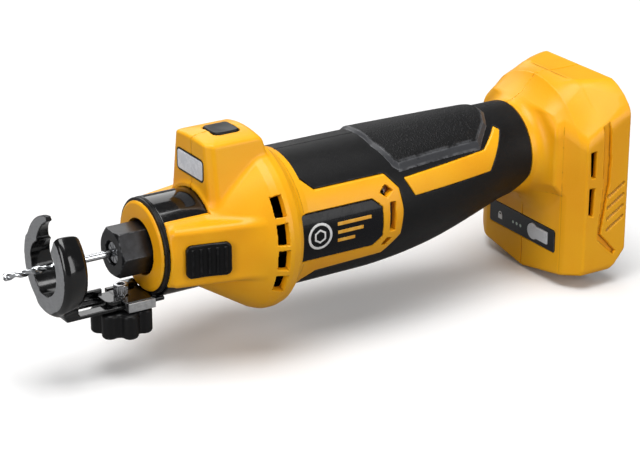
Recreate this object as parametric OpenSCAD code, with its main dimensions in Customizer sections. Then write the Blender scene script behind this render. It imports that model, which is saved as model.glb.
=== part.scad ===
// Cordless trim router with a straight grip, a slide-on battery foot and an
// adjustable depth guide. The spindle lies along X and the bit points to -X,
// the front. The origin is on the spindle axis, in the plane of the depth guide's
// contact face. +Z is the lamp side. -Y is the left, the side with the slide switch.

/* [Cutting bit and collet] */
// Radius of the bit's shank
bit_r = 1.5875; // [1.5:0.0125:1.6]
// Distance from the guide face to the tip of the bit
bit_out = 17; // [10:1:25]
// Size of the collet nut across its flats
nut_af = 19; // [18:0.5:19.5]
// Length of the hexagonal part of the collet nut
nut_len = 17; // [15:0.5:18]

/* [Depth guide] */
// Outer radius of the guide's contact face
guide_r = 18; // [17:0.5:19]
// Radius of the hole in the guide ring
guide_hole_r = 11.2; // [11.1:0.1:12]
// Thickness of the guide ring along the spindle
guide_t = 12; // [10:0.5:12]
// Radius of the clamp knob over its lobes
knob_r = 12.8; // [12:0.1:13.5]
// Number of lobes on the clamp knob
knob_lobes = 7; // [6:1:8]

/* [Housing] */
// Radius of the motor housing
body_r = 29.6; // [29.4:0.1:30]
// Radius of the flange around the fan
rim_r = 36.4; // [36:0.1:37]
// Radius of the nose collar
collar_r = 20.2; // [20:0.1:20.4]
// Height of the lamp tower above the spindle axis
tower_z = 43.6; // [42.5:0.1:44]
// Wall thickness of the battery foot
foot_wall = 3; // [2.5:0.1:3.5]
// Thickness of the soft grip cover
cover_t = 2; // [1.8:0.1:2.2]

/* [Battery foot] */
// Half the width of the battery foot
foot_hw = 38; // [37:0.5:39]
// Distance from the guide face to the back of the foot
foot_x = 265; // [264:0.5:266]

/* [Running clearances] */
// Radial running clearance of turning parts
run_c = 0.05; // [0.02:0.01:0.08]

/* [Hidden] */

yellow = [0.98, 0.69, 0.13];
black = [0.11, 0.11, 0.12];
gloss = [0.05, 0.05, 0.06];
steel = [0.72, 0.73, 0.75];
grey = [0.6, 0.6, 0.62];

nut_x = 30;           // front face of the collet nut
bezel_x = 42.8;       // front face of the nose bezel
pin_x = 81.5;         // axis of the spindle lock pin
knob_x = 33.8;        // axis of the clamp knob and bolt
lamp_y = 1.3;         // middle of the lamp lens
lamp_z = 30;
pod_hz = 12.8;        // half the height of the side pods
pod_angle = 14.1;     // angle of the pods' side faces in plan
well_hw = 30;         // half the width of the recess for the battery rails
well_z = 25;          // top of that recess
panel_z = -32;        // middle of the indicator panel
motor_x0 = 107;       // ends of the stator core
motor_x1 = 137;
bracket_t = 2.05;     // thickness of the guide bracket
bracket_z0 = -20.85;  // underside of the guide bracket
bracket_z1 = bracket_z0 + bracket_t;
bracket_x1 = 44.2;    // back of the bracket's wide part and of the saddle
screw_x = 54;         // bracket screws
screw_ys = [-3, 3];
collar_slot_hw = 6.1; // half the width of the slot under the nose for the bracket
blade_ys = [-12, -6, 0, 6, 12];

// Grip stations: [x, radius, z of the centre]
grip = [[100, 29.6, 0], [144, 29.4, 0.2], [160, 28.6, 0.8], [176, 27.2, 2], [190, 25.3, 3.8],
  [204, 23.0, 5.8], [216, 21.0, 7.8], [232, 20.4, 8.5]];
grip_sides = 56;

// Housing screws: [x, z, length of the post from the parting plane]
posts = [[84.5, -25.4, 9], [159, 20, 10], [159, -18.6, 10], [214, -4, 9],
  [248, 17.5, 33], [246, -38, 34]];
screw_seat_y = 8;     // underside of the housing screw heads

// ---- helpers ----
// Solid of revolution about the X axis, from points [x, radius]
module revolve(points) rotate([0, 90, 0])
  rotate_extrude($fn = 96) polygon([for (point = points) [point[1], point[0]]]);

// Ring about the X axis, rectangular in section
module ring(x0, x1, r_in, r_out) revolve([[x0, r_in], [x0, r_out], [x1, r_out], [x1, r_in]]);

module cyl_x(x0, x1, r, n = 96)
  translate([x0, 0, 0]) rotate([0, 90, 0]) cylinder(r = r, h = x1 - x0, $fn = n);

module cyl_y(x, z, y0, y1, r, n = 48)
  translate([x, y1, z]) rotate([90, 0, 0]) cylinder(r = r, h = y1 - y0, $fn = n);

module cyl_z(x, y, z0, z1, r, n = 48)
  translate([x, y, z0]) cylinder(r = r, h = z1 - z0, $fn = n);

// Box from its low and high corners
module box(low, high) translate(low) cube(high - low);

// Box centred on the plane y = 0
module mid_box(x0, x1, half_y, z0, z1) box([x0, -half_y, z0], [x1, half_y, z1]);

// Box and Y cylinder given for the +Y side, reflected to -Y when side = -1
module side_box(low, high, side)
  box([low[0], side < 0 ? -high[1] : low[1], low[2]],
    [high[0], side < 0 ? -low[1] : high[1], high[2]]);
module side_cyl(x, z, y0, y1, r, side, n = 48)
  cyl_y(x, z, side < 0 ? -y1 : y0, side < 0 ? -y0 : y1, r, n);

// Rectangle with round corners, centred
module round_rect(w, h, r) {
  square([w - 2 * r, h], center = true);
  square([w, h - 2 * r], center = true);
  for (i = [-1, 1], j = [-1, 1])
    translate([i * (w / 2 - r), j * (h / 2 - r)]) circle(r, $fn = 32);
}

// Children drawn as [y, z], extruded towards +X from the point
module extrude_x(point, length)
  translate(point) rotate([90, 0, 90]) linear_extrude(length) children();

// Prism along Y from points [x, z], on one side or right across
module side_prism(points, side)
  rotate([90, 0, 0]) translate([0, 0, side < 0 ? 0 : -60]) linear_extrude(60) polygon(points);
module full_prism(points)
  rotate([90, 0, 0]) translate([0, 0, -60]) linear_extrude(120) polygon(points);

// What lies on one side of the parting plane: -Y for side = -1, +Y for side = 1
module half(side) intersection() {
  children();
  side_box([-40, 0, -80], [300, 80, 80], side);
}

// Copies evenly spaced about the X axis
module around_x(count) for (i = [0 : count - 1]) rotate([i * 360 / count, 0, 0]) children();

// A cylinder on each housing screw
module screw_cyls(y0, y1, r, n = 48) for (post = posts) cyl_y(post[0], post[1], y0, y1, r, n);

// A cylinder on each bracket screw
module bracket_cyls(z0, z1, r, n = 48) for (y = screw_ys) cyl_z(screw_x, y, z0, z1, r, n);

// Tapered grip body, thicker than the grip stations by the offset
module grip_body(offset) {
  n = grip_sides;
  last = len(grip) - 1;
  polyhedron(
    points = [for (station = grip, k = [0 : n - 1])
      let (a = 360 * k / n, r = station[1] + offset)
      [station[0], r * cos(a), station[2] + r * sin(a)]],
    faces = concat(
      [[for (k = [0 : n - 1]) k]],
      [[for (k = [n - 1 : -1 : 0]) last * n + k]],
      [for (i = [0 : last - 1], k = [0 : n - 1]) let (j = (k + 1) % n)
        [i * n + j, i * n + k, (i + 1) * n + k, (i + 1) * n + j]]));
}

// Outlines on the grip, as [x, z] seen from the side, grown by a margin m
function panel_pts(m) = [[99, -24 - m], [104.9, -23.4 - m], [111.5, -17.5 - m],
  [143.5 + m, -16.2 - m], [151 + m, -8 - m], [152 + m, 3], [151 + m, 12.2 + m],
  [145.8 + m, 18.3 + m], [111.6, 18.2 + m], [106.3, 23 + m], [99, 24 + m]];
function badge_pts(m) = [[101.6 - m, -10.3 - m], [137 + m * 0.4, -10.3 - m],
  [141.4 + m, -6.5 - m * 0.4], [141.4 + m, 6.5 + m * 0.4],
  [137 + m * 0.4, 10.3 + m], [101.6 - m, 10.3 + m]];
function inlay_pts(m) = [[154.4 - m * 1.4, 15.3 + m], [158.5 - m, 7.4 - m],
  [200.4 + m, 8.5 - m], [210.8 + m, 23.1 + m], [208.6 - m, 24.4 + m],
  [198.8 - m * 0.4, 17.6 + m]];

// Outline of the top pad, as [x, y] seen from above
pad_pts = [[145, 0], [145.4, 6], [146, 12], [150.7, 21.8], [153.4, 23.6], [197, 20.4],
  [205.4, 13], [209.2, 5.5], [209.6, 0], [209.2, -5.5], [205.4, -13], [197, -20.4],
  [153.4, -23.6], [150.7, -21.8], [146, -12], [145.4, -6]];

// ---- housing, outside ----
// Battery foot, with its faces moved inwards by the inset
module foot_block(inset) difference() {
  foot_shape(inset);
  // upper front corners cut off by slanted planes
  for (side = [-1, 1])
    translate([244 + inset * 0.368, side * (25.14 - inset * 0.652), 30 - inset * 0.662])
      rotate([0, 48.5, side * 119.4]) translate([-50, -50, 0]) cube([100, 100, 60]);
}

module foot_shape(inset) {
  // +Y half of the outline seen along the spindle, as [y, z]
  right = [[37 - inset, -45 + inset], [foot_hw - inset, -43.5 + inset], [foot_hw - inset, 26],
    [36.4 - inset, 31.4 - inset * 0.5], [33 - inset, 35.2 - inset * 0.8],
    [28, 37.5 - inset], [23, 39.2 - inset]];
  left = [for (i = [len(right) - 1 : -1 : 0]) [-right[i][0], right[i][1]]];
  intersection() {
    extrude_x([200, 0, 0], 100) polygon(concat([[0, -51.7 + inset]], right, left));
    // outline seen from the side
    full_prism([[236 + inset, -52], [252.7 - inset * 0.4, -52], [foot_x, -37 + inset * 0.8],
      [foot_x, 40], [247 + inset, 40], [233 + inset, 29.5], [233 + inset, -4],
      [236 + inset, -10]]);
    // outline seen from above
    translate([0, 0, -60]) linear_extrude(120) polygon([[230, -26], [236 + inset, -28],
      [242.2 + inset, -foot_hw], [foot_x, -foot_hw], [foot_x, foot_hw],
      [242.2 + inset, foot_hw], [236 + inset, 28], [230, 26]]);
  }
}

module neck() hull() {
  translate([225, 0, 8.4]) rotate([0, 90, 0]) cylinder(r = 20.4, h = 0.5, $fn = 48);
  translate([239, 0, 7]) rotate([0, 90, 0]) cylinder(r = 29, h = 1, $fn = 32);
}

// One level of the lamp tower, from points [x, y]
module tower_slice(z, points) translate([0, 0, z]) linear_extrude(1) polygon(points);
module tower() hull() {
  tower_slice(14, [[67.5, -14], [71.5, -17.5], [95, -17.5], [95, 17.5], [69.5, 17.5], [67.5, 16]]);
  tower_slice(tower_z - 3,
    [[67.5, -10.5], [70.5, -13.2], [94, -14.5], [94, 14.5], [69, 14.5], [67.5, 13.4]]);
  tower_slice(tower_z - 1, [[70, -8], [91.5, -10], [91.5, 10], [70, 11]]);
}

module pod(side) translate([0, 0, -pod_hz]) linear_extrude(2 * pod_hz)
  polygon([[47.5, side * 10], [47.1, side * 21], [84, side * 30.3], [88, side * 26],
    [88, side * 10]]);

// Nose cone, fan flange and front edge of the motor housing
module nose_shell() revolve([[46.4, 0], [46.4, 21.4], [66, 21.4], [91, rim_r],
  [99, rim_r - 1.4], [101.4, 32.6], [104, body_r], [104.5, body_r], [104.5, 0]]);

// Grip under the soft cover
module grip_core() difference() {
  grip_body(-cover_t - 0.02);
  box([60, -40, -40], [104, 40, 40]);
  box([225, -40, -40], [300, 40, 40]);
}

module outer() {
  nose_shell();
  grip_core();
  // side panels stand level with the grip cover
  for (side = [-1, 1]) intersection() {
    cyl_x(104, 156, body_r + 0.1);
    side_prism(panel_pts(-0.1), side);
  }
  neck();
  foot_block(0);
  tower();
  for (side = [-1, 1]) pod(side);
}

// ---- housing, cut away ----
module motor_hollow() {
  cyl_x(40, 88, collar_r + 0.04);
  // openings that show the collar above and below the pods
  mid_box(45, 66.7, 26, 14.6, 23);
  mid_box(45, 64, 26, -23, -pod_hz);
  revolve([[86, 0], [86, 22], [90, 33], [99, 32.4], [101, 27], [145, 27], [145, 26],
    [152, 26], [152, 0]]);
}

module grip_hollow()
  translate([150, 0, 0.4]) rotate([0, 90 - 6.2, 0]) cylinder(r1 = 24.2, r2 = 16.6, h = 84, $fn = 72);

// Room for the lamp and the lock button in the tower
module tower_hollow() {
  box([70.2, -9.9, 20], [76, 12.5, 36.4]);
  extrude_x([66, lamp_y, lamp_z], 8) round_rect(21.8, 9.4, 2);
  cyl_z(pin_x, 0, 16, 37, 4.6);
  translate([pin_x, 0, 35]) linear_extrude(12) round_rect(12.2, 12.2, 2.6);
}

// Switch hollow and slot in the left pod
module switch_hollow() {
  box([54, -22.5, -8], [72, -19, 8]);
  box([71.5, -26, -8], [84, -19, 8]);
  pod_frame() box([9, -3, -3], [21, 6, 3]);
}

// Frame of the left pod's side face: X runs back along it and Y points inwards
module pod_frame() translate([47, -21, 0]) rotate([0, 0, -pod_angle]) children();

// Slots in the flange and small air slots in the side panel
module air_slots(side) {
  for (angle = [30, 11, -7, -26]) rotate([side * angle, 0, 0])
    side_box([87.8, 29, -4.4], [92.4, 40, 4.4], side);
  side_cyl(144.4, 12.2, 15, 40, 2.1, side, 4);
  side_box([144.9, 15, -5.2], [147.8, 40, 7.4], side);
  side_box([143, 15, -10.6], [145.2, 40, -8], side);
}

module badge_recess(side) intersection() {
  difference() {
    cyl_x(100, 145, 40);
    cyl_x(99, 146, body_r - 0.75);
  }
  side_prism(badge_pts(0.05), side);
}

// Grooves and upright slots in the side of the foot
module foot_grooves(side) {
  intersection() {
    union() {
      side_prism([[251.3, 31.6], [254.3, 27.4], [255.2, 7.5], [254.8, -3.2], [250.9, -27],
        [258.9, -36], [257.6, -37.6], [249, -29.4], [251.7, -5], [251.2, 17.4]], side);
      // slanted grooves in the lower rear flank
      for (k = [0 : 3]) side_prism([[254, -9.4 - 5.2 * k], [263.6, -3.6 - 5.2 * k],
        [263.6, -5.1 - 5.2 * k], [254, -10.9 - 5.2 * k]], side);
    }
    side_box([240, 36.9, -60], [266, 40, 60], side);
  }
  side_box([244.2, 33, 0.2], [246.8, 40, 13.6], side);
  side_box([243.4, 33, -17], [246, 40, -4.2], side);
}

module panel_recess() {
  extrude_x([235, 0, panel_z], 2.42) round_rect(48.1, 10.4, 1);
  mid_box(235, 241, 20, -36.3, -27.7);
}

module foot_hollow() {
  difference() {
    foot_block(foot_wall);
    box([254, -60, -60], [300, 60, 60]);
  }
  translate([228, 0, 6]) rotate([0, 90, 0]) cylinder(r = 17, h = 14, $fn = 48);
  // recess for the battery rails, open at the bottom
  mid_box(251, 266, well_hw, -60, well_z);
}

module inner() {
  motor_hollow();
  grip_hollow();
  foot_hollow();
  tower_hollow();
  switch_hollow();
  for (side = [-1, 1]) {
    air_slots(side);
    badge_recess(side);
    foot_grooves(side);
  }
  panel_recess();
}

module housing(side) color(yellow) difference() {
  union() {
    half(side) difference() {
      outer();
      inner();
    }
    for (post = posts) side_cyl(post[0], post[1], 0, post[2], 4.3, side);
  }
  screw_cyls(-8, 10, 1.56);
  // the screws go in from the +Y side
  if (side > 0) screw_cyls(screw_seat_y, 45, 3.1);
  // clearance for the rails in the screw posts
  mid_box(253.9, 266, well_hw, -60, well_z);
}
module housing_left() housing(-1);
module housing_right() housing(1);

module housing_screws() color(steel) {
  screw_cyls(-7.5, screw_seat_y, 1.5, 32);
  screw_cyls(screw_seat_y, 10.2, 2.9, 32);
}

// ---- grip ----
module grip_cover(side) color(black) half(side) difference() {
  grip_body(0);
  grip_body(-cover_t);
  box([90, -40, -40], [104.6, 40, 40]);
  box([224.9, -40, -40], [240, 40, 40]);
  for (panel_side = [-1, 1]) side_prism(panel_pts(0.1), panel_side);
  side_prism(inlay_pts(0.05), side);
  if (side > 0) screw_cyls(screw_seat_y, 45, 3.2);
}
module grip_cover_left() grip_cover(-1);
module grip_cover_right() grip_cover(1);

module grip_pad() color([0.16, 0.16, 0.17]) intersection() {
  difference() {
    grip_body(1.1);
    grip_body(0.02);
  }
  translate([0, 0, 5]) linear_extrude(40) polygon(pad_pts);
}

module grip_inlay(side) color(yellow) difference() {
  intersection() {
    grip_body(0.3);
    side_prism(inlay_pts(0), side);
  }
  grip_body(-cover_t);
}
module grip_inlay_left() grip_inlay(-1);
module grip_inlay_right() grip_inlay(1);

module badge(side) color(gloss) intersection() {
  difference() {
    cyl_x(100, 145, body_r + 0.3);
    cyl_x(99, 146, body_r - 0.72);
  }
  side_prism(badge_pts(0), side);
}
module badge_left() badge(-1);
module badge_right() badge(1);

// ---- nose ----
module nose_bezel() color(yellow) revolve([[bezel_x, 11.8], [bezel_x + 0.4, 17.8],
  [43.8, 18.7], [44.3, 18.9], [44.3, 16.4], [52, 16.4], [52, 15.2], [45, 13], [45, 11.8]]);

module seal_ring() color(gloss) difference() {
  revolve([[44.35, 16.5], [44.35, 19.6], [44.6, 20.05], [44.95, 20.05], [45.15, 19.6],
    [45.5, 19.6], [45.7, 20.05], [46.05, 20.05], [46.3, 19.7], [46.3, 16.5]]);
  mid_box(40, 52, collar_slot_hw, -24, -18.4);
}

module nose_collar() color(gloss) difference() {
  union() {
    revolve([[46.35, 16.5], [46.35, collar_r], [88, collar_r], [88, 15], [70.05, 15],
      [70.05, 13.02], [61.9, 13.02], [61.9, 11], [60, 11], [60, 15.2], [52.05, 15.2],
      [52.05, 16.5]]);
    // thicker sleeve below the pods
    difference() {
      intersection() {
        cyl_x(46.35, 63.95, 21.4);
        mid_box(40, 70, 30, -30, -pod_hz - 0.06);
      }
      cyl_x(40, 70, 18);
    }
  }
  cyl_z(pin_x, 0, 10, 30, 2.3);
  mid_box(40, 60.1, collar_slot_hw, -24, -19.3);
  bracket_cyls(-24, -14, 1.2);
}

module rear_bearing_plate() color(grey) revolve([[145.1, 11.05], [145.1, 25.9], [148, 25.9],
  [148, 14], [153.4, 14], [153.4, 8], [152.1, 8], [152.1, 11.05]]);

// ---- lamp ----
module lamp_lens() color([0.9, 0.92, 0.95]) union() {
  extrude_x([67.4, lamp_y, lamp_z], 3) round_rect(21.6, 9.2, 1.9);
  box([70.3, -9.7, 24.8], [71.2, 12.3, 35.2]);
}

module lamp_board() color([0.85, 0.86, 0.82]) union() {
  box([72, -8, 25.4], [73.4, 11, 34.6]);
  for (y = [lamp_y - 5, lamp_y + 5]) box([71.4, y - 1.6, 28.4], [72, y + 1.6, 31.6]);
}

// ---- slide switch ----
module slide_switch() color(black) pod_frame() {
  translate([14.4, -0.04, -1]) rotate([90, 0, 0]) linear_extrude(1.7) round_rect(19, 14, 2.6);
  for (x = [8.1 : 4.2 : 21]) box([x - 0.7, -2.5, -5.4], [x + 0.7, -1.6, 3.4]);
  box([12.5, -0.1, -2.4], [17, 2.8, 2.4]);
}

module switch_body() color(gloss) union() {
  box([72, -25.8, -6], [83.5, -20.6, 6]);
  box([71, -22.4, -1.5], [72, -21.4, 1.5]);
}

// ---- spindle lock ----
module lock_button() color(black) union() {
  translate([pin_x, 0, 38.2]) linear_extrude(5.8) round_rect(12, 12, 2.5);
  cyl_z(pin_x, 0, 36.4, 38.2, 4.4);
}

module lock_pin() color(steel) union() {
  cyl_z(pin_x, 0, 9.6, 36.3, 2.0);
  cyl_z(pin_x, 0, 31, 32, 4.2);
}

// Wire of the return spring, between the collar and the pin's flange
spring_turns = 5;
spring_steps = 90;
wire_sides = 8;
wire_r = 0.4;
module lock_spring() color(steel) translate([pin_x, 0, 0]) polyhedron(
  points = [for (i = [0 : spring_steps], k = [0 : wire_sides - 1])
    let (t = i / spring_steps, turn = 360 * spring_turns * t, b = 360 * k / wire_sides,
      r = 3.1 + wire_r * cos(b))
    [r * cos(turn), r * sin(turn), 20.75 + 9.8 * t + wire_r * sin(b)]],
  faces = concat(
    [[for (k = [0 : wire_sides - 1]) k]],
    [[for (k = [wire_sides - 1 : -1 : 0]) spring_steps * wire_sides + k]],
    [for (i = [0 : spring_steps - 1], k = [0 : wire_sides - 1], m = [0, 1])
      let (j = (k + 1) % wire_sides, a = i * wire_sides, b = a + wire_sides)
      m == 0 ? [a + k, b + k, a + j] : [b + k, b + j, a + j]]));

// ---- bit, collet, nut and spindle ----
module cutting_bit() color(steel) union() {
  cyl_x(4, 58, bit_r, 48);
  // twisted cutting end with two flutes
  translate([-bit_out, 0, 0]) rotate([0, 90, 0])
    linear_extrude(bit_out + 4.2, twist = 540, slices = 44) difference() {
      circle(bit_r, $fn = 20);
      for (a = [0, 180]) rotate(a) translate([bit_r * 1.02, 0]) circle(bit_r * 0.62, $fn = 12);
    }
}

module collet() color(steel) difference() {
  revolve([[31, bit_r + 0.03], [31, 4.3], [31.6, 4.9], [33.4, 4.9], [34.6, 6.3],
    [36.4, 6.3], [54, 4.2], [54, bit_r + 0.03]]);
  for (a = [0, 45, 90, 135]) rotate([a, 0, 0]) mid_box(30, 48, 7, -0.3, 0.3);
}

module collet_nut() color(gloss) difference() {
  flat_r = nut_af / 2;
  hex_end = nut_x + nut_len;
  intersection() {
    union() {
      translate([nut_x, 0, 0]) rotate([0, 90, 0]) rotate(90)
        cylinder(r = nut_af / sqrt(3), h = nut_len, $fn = 6);
      cyl_x(hex_end - 0.1, hex_end + 4, 9);
    }
    // chamfers on the hexagon's corners
    revolve([[nut_x, 0], [nut_x, flat_r - 0.2], [nut_x + 1.4, flat_r + 1.9],
      [hex_end - 0.8, flat_r + 1.9], [hex_end + 1, flat_r], [nut_x + 30, flat_r],
      [nut_x + 30, 0]]);
  }
  revolve([[29, 0], [29, 5.6], [30, 5.2], [33.3, 5.2], [34.6, 6.5], [37.2, 6.5],
    [37.2, 7.5 + run_c], [52, 7.5 + run_c], [52, 0]]);
}

module spindle() color(steel) difference() {
  revolve([[38, 0], [38, 7], [38.5, 7.5], [51.5, 7.5], [52.5, 8], [61.5, 8], [61.5, 5],
    [70.2, 5], [70.2, 6.5], [77.5, 6.5], [77.5, 9], [85.5, 9], [85.5, 6], [100, 6],
    [101, 5], [143, 5], [145.6, 5], [145.6, 4], [153.2, 4], [153.6, 3.6], [153.6, 0]]);
  // taper for the collet and relief behind it
  revolve([[37, 0], [37, 6.36], [54, 4.29], [58, 3.8], [58, 2.2], [64, 2.2], [66, 0]]);
  // holes for the lock pin
  for (a = [0, 90]) rotate([a, 0, 0])
    for (m = [0, 1]) mirror([0, 0, m]) cyl_z(pin_x, 0, 6, 12, 2.1);
}

// ---- bearings ----
// Ball sets: [x of the balls, pitch radius, ball radius]
front_balls = [66, 9, 2.38];
rear_balls = [148.8, 7.5, 1.98];

// Bearing ring from its bore or outside radius, edge_r, to its shoulder by the balls
module bearing_ring(x0, x1, edge_r, balls) color(steel) difference() {
  pitch_r = balls[1];
  shoulder_r = pitch_r + sign(edge_r - pitch_r) * balls[2] * 0.4;
  ring(x0, x1, min(edge_r, shoulder_r), max(edge_r, shoulder_r));
  rotate([0, 90, 0]) translate([0, 0, balls[0]]) rotate_extrude($fn = 96)
    translate([pitch_r, 0]) circle(balls[2] + 0.03, $fn = 48);
}

// Eight balls joined by a cage ring
module bearing_balls(balls) color(grey) union() {
  x = balls[0];
  pitch_r = balls[1];
  around_x(8) translate([x, 0, pitch_r]) sphere(balls[2], $fn = 48);
  ring(x - 0.6, x + 0.6, pitch_r - 0.5, pitch_r + 0.5);
}
module front_bearing_outer() bearing_ring(62, 70, 13, front_balls);
module front_bearing_inner() bearing_ring(62, 70, 5, front_balls);
module front_bearing_balls() bearing_balls(front_balls);
module rear_bearing_outer() bearing_ring(145.2, 152.1, 11, rear_balls);
module rear_bearing_inner() bearing_ring(145.7, 152.7, 4, rear_balls);
module rear_bearing_balls() bearing_balls(rear_balls);

// ---- motor ----
// Cylinder and box as long as the stator core, plus extra at each end
module core_cyl(extra, r) cyl_x(motor_x0 - extra, motor_x1 + extra, r);
module core_box(extra, half_y, z0, z1)
  mid_box(motor_x0 - extra, motor_x1 + extra, half_y, z0, z1);

module rotor_core() color(grey) difference() {
  core_cyl(1, 12.8);
  core_cyl(2, 5);
  around_x(4) core_box(0.5, 6, 9, 11);
}

module rotor_magnets() color([0.5, 0.5, 0.52]) around_x(4) core_box(0, 5.9, 9.1, 10.9);

module stator_core() color(grey) difference() {
  union() {
    difference() {
      core_cyl(0, 26.9);
      core_cyl(1, 22.6);
    }
    // teeth with curved tips
    around_x(6) {
      core_box(0, 2.4, 14, 23);
      intersection() {
        difference() {
          core_cyl(0, 15.6);
          core_cyl(1, 13.6);
        }
        mid_box(100, 140, 6, 10, 17);
      }
    }
  }
  core_cyl(1, 13.6);
}

module stator_windings() color([0.72, 0.4, 0.2]) around_x(6) difference() {
  core_box(4, 5.2, 15.8, 21.2);
  core_box(0.5, 2.6, 15, 22);
}

module cooling_fan() color(black) difference() {
  union() {
    cyl_x(88, 99, 9, 64);
    ring(97.6, 98.8, 8, 30);
    around_x(11) mid_box(90.5, 97.7, 0.7, 8, 29);
  }
  cyl_x(80, 110, 6);
}

// ---- electronics ----
module controller_board() color([0.1, 0.35, 0.2]) union() {
  mid_box(164, 206, 12, 4, 5.6);
  for (i = [0 : 5]) box([167 + i * 4.6, 4, 5.6], [170.4 + i * 4.6, 10, 8]);
}

module board_capacitor() color([0.2, 0.2, 0.24])
  translate([190, -5, 10.8]) rotate([0, 90, 0]) cylinder(r = 5, h = 14, $fn = 48);

module power_leads() color([0.7, 0.1, 0.1]) for (y = [-6, 0, 6]) {
  box([206.2, y - 1, 3.6], [246, y + 1, 5.6]);
  box([154.5, y - 1, 3.6], [163.8, y + 1, 5.6]);
}

// ---- battery interface ----
module battery_rails() color(black) intersection() {
  foot_block(0.1);
  difference() {
    mid_box(254, 264.8, well_hw - 0.1, -52, well_z - 0.1);
    // opening between the rails
    mid_box(256.5, 270, 22.4, -60, 20);
    // undercut in front of the rails' lips
    mid_box(256.5, 261.6, 26.6, -60, 20);
    // window for the terminal block
    mid_box(250, 258, 16, -6, 12);
  }
}

module terminal_block() color(gloss) difference() {
  mid_box(248, 260.6, 15.9, -5.9, 11.9);
  for (y = blade_ys) box([252, y - 1.4, -7], [262, y + 1.4, 9]);
}

module terminal_blades() color([0.8, 0.7, 0.4])
  for (y = blade_ys) box([252.05, y - 0.4, -4.5], [260.4, y + 0.4, 8.9]);

// Cylinders along X in the places of the indicator lights
module light_cyls(x, length, r) for (y = [1, 3.8, 6.6])
  translate([x, y, panel_z - 0.6]) rotate([0, 90, 0]) cylinder(r = r, h = length, $fn = 24);

// Disc with a tongue, the outline of the panel button as [y, z]
module button_outline(margin) {
  translate([-8.4, panel_z]) circle(3.9 + margin, $fn = 48);
  translate([-19.2 - margin, panel_z - 3 - margin]) square([9 + margin, 6 + 2 * margin]);
}

module indicator_panel() color([0.2, 0.2, 0.22]) difference() {
  extrude_x([235.9, 0, panel_z], 1.4) round_rect(48, 10.3, 0.9);
  light_cyls(230, 10, 0.75);
  extrude_x([230, 0, 0], 10) button_outline(0.15);
}

module indicator_lights() color([0.8, 0.9, 0.8]) light_cyls(236, 2.2, 0.7);

module panel_button() color([0.85, 0.86, 0.88]) union() {
  extrude_x([235.4, 0, 0], 2.6) button_outline(0);
  box([238, -12, -34], [239.4, -6, -30]);
}

// ---- depth guide and its clamp ----
// Region removed from the ring to open it at the top, as [y, z]
module guide_gap() polygon([[-6.1, 9.3], [-9.4, 15.1], [-12, 19.6], [-12, 40], [30, 40],
  [30, 9.8], [5.5, 9.8], [0, 0]]);

// Hook that curves up on the +Y side of the ring, as [y, z]
module guide_hook() intersection() {
  difference() {
    translate([-8.5, -0.9]) circle(25, $fn = 96);
    translate([-14, 2.6]) circle(21, $fn = 96);
  }
  translate([-4.7, 2]) square([40, 40]);
}

// Ring with a flat contact face, flared behind it, and the heel that joins it to the plate
module guide_ring() {
  revolve([[0, 10], [0, guide_r], [1.2, guide_r + 1.2], [3, guide_r + 1.7],
    [guide_t - 4, guide_r + 1.7], [guide_t - 1.5, guide_r + 0.7], [guide_t, guide_r - 1.6],
    [guide_t, 10]]);
  intersection() {
    mid_box(0.8, guide_t, 9, -22.5, -8);
    revolve([[0, 0], [0, 18], [5, 22.5], [guide_t, 24], [guide_t, 0]]);
  }
}

module depth_guide() color(gloss) difference() {
  union() {
    difference() {
      guide_ring();
      extrude_x([-1, 0, 0], 40) guide_gap();
    }
    // the hook grows thinner towards its tip
    intersection() {
      extrude_x([0, 0, 0], 8) guide_hook();
      full_prism([[0, 0], [8, 0], [8, 8], [2, 24.5], [0, 24.5]]);
    }
    // slotted plate with an upright flange along its +Y edge
    mid_box(6, 50, 7, -22.5, -20.9);
    box([8, 5.5, -21], [28, 7, -17.2]);
  }
  cyl_x(-1, 20, guide_hole_r);
  // slot for the clamp bolt
  mid_box(14.3, 44.6, 2.2, -26, -15);
  for (x = [14.3, 44.6]) cyl_z(x, 0, -26, -15, 2.2);
}

module guide_bracket() color(gloss) difference() {
  union() {
    box([31, -9.4, bracket_z0], [bracket_x1, 5.4, bracket_z1]);
    box([40, -6, bracket_z0], [58.5, 5.4, -19.35]);
    translate([29, 0, bracket_z0]) linear_extrude(bracket_t) round_rect(8.4, 10.6, 3);
    // rail beyond the guide's flange, joined behind it
    box([31, 7.15, bracket_z0], [bracket_x1, 9.4, bracket_z1]);
    box([37, 5.3, bracket_z0], [bracket_x1, 9.4, -17.2]);
  }
  // clearance for the bezel
  cyl_x(42.4, 44.4, 19.1);
  cyl_z(knob_x, 0, -25, -10, 2.02);
  bracket_cyls(-24, -14, 1.25);
  bracket_cyls(-22, -19.95, 2.35);
}

module bracket_screws() color(steel) {
  bracket_cyls(bracket_z0, -15, 1.2, 32);
  bracket_cyls(bracket_z0, -20, 2.3, 32);
}

module clamp_bolt() color(steel) difference() {
  union() {
    cyl_z(knob_x, 0, bracket_z1, -14.2, 3.1);
    cyl_z(knob_x, 0, -32.5, bracket_z1, 2);
  }
  translate([knob_x, 0, -16.2]) cylinder(r = 1.7, h = 4, $fn = 6);
}

module clamp_saddle() color([0.8, 0.8, 0.8]) difference() {
  box([32, -10.3, -23.2], [bracket_x1, 9.2, -19.2]);
  // channel for the guide plate
  mid_box(30, 50, 7.1, -22.52, -10);
  // lowered under the bracket
  box([30, -9.45, -20.9], [50, 9.5, -10]);
  cyl_z(knob_x, 0, -30, -20, 2.06);
}

module clamp_knob() color(black) difference() {
  union() {
    cyl_z(knob_x, 0, -34.9, -23.25, knob_r - 2.4, 64);
    for (i = [0 : knob_lobes - 1])
      translate([knob_x, 0, 0]) rotate([0, 0, 6.5 + i * 360 / knob_lobes])
        translate([knob_r - 3.4, 0, 0]) cyl_z(0, 0, -34.3, -24.2, 3.4, 32);
  }
  cyl_z(knob_x, 0, -33.5, -20, 2.06);
}

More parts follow.
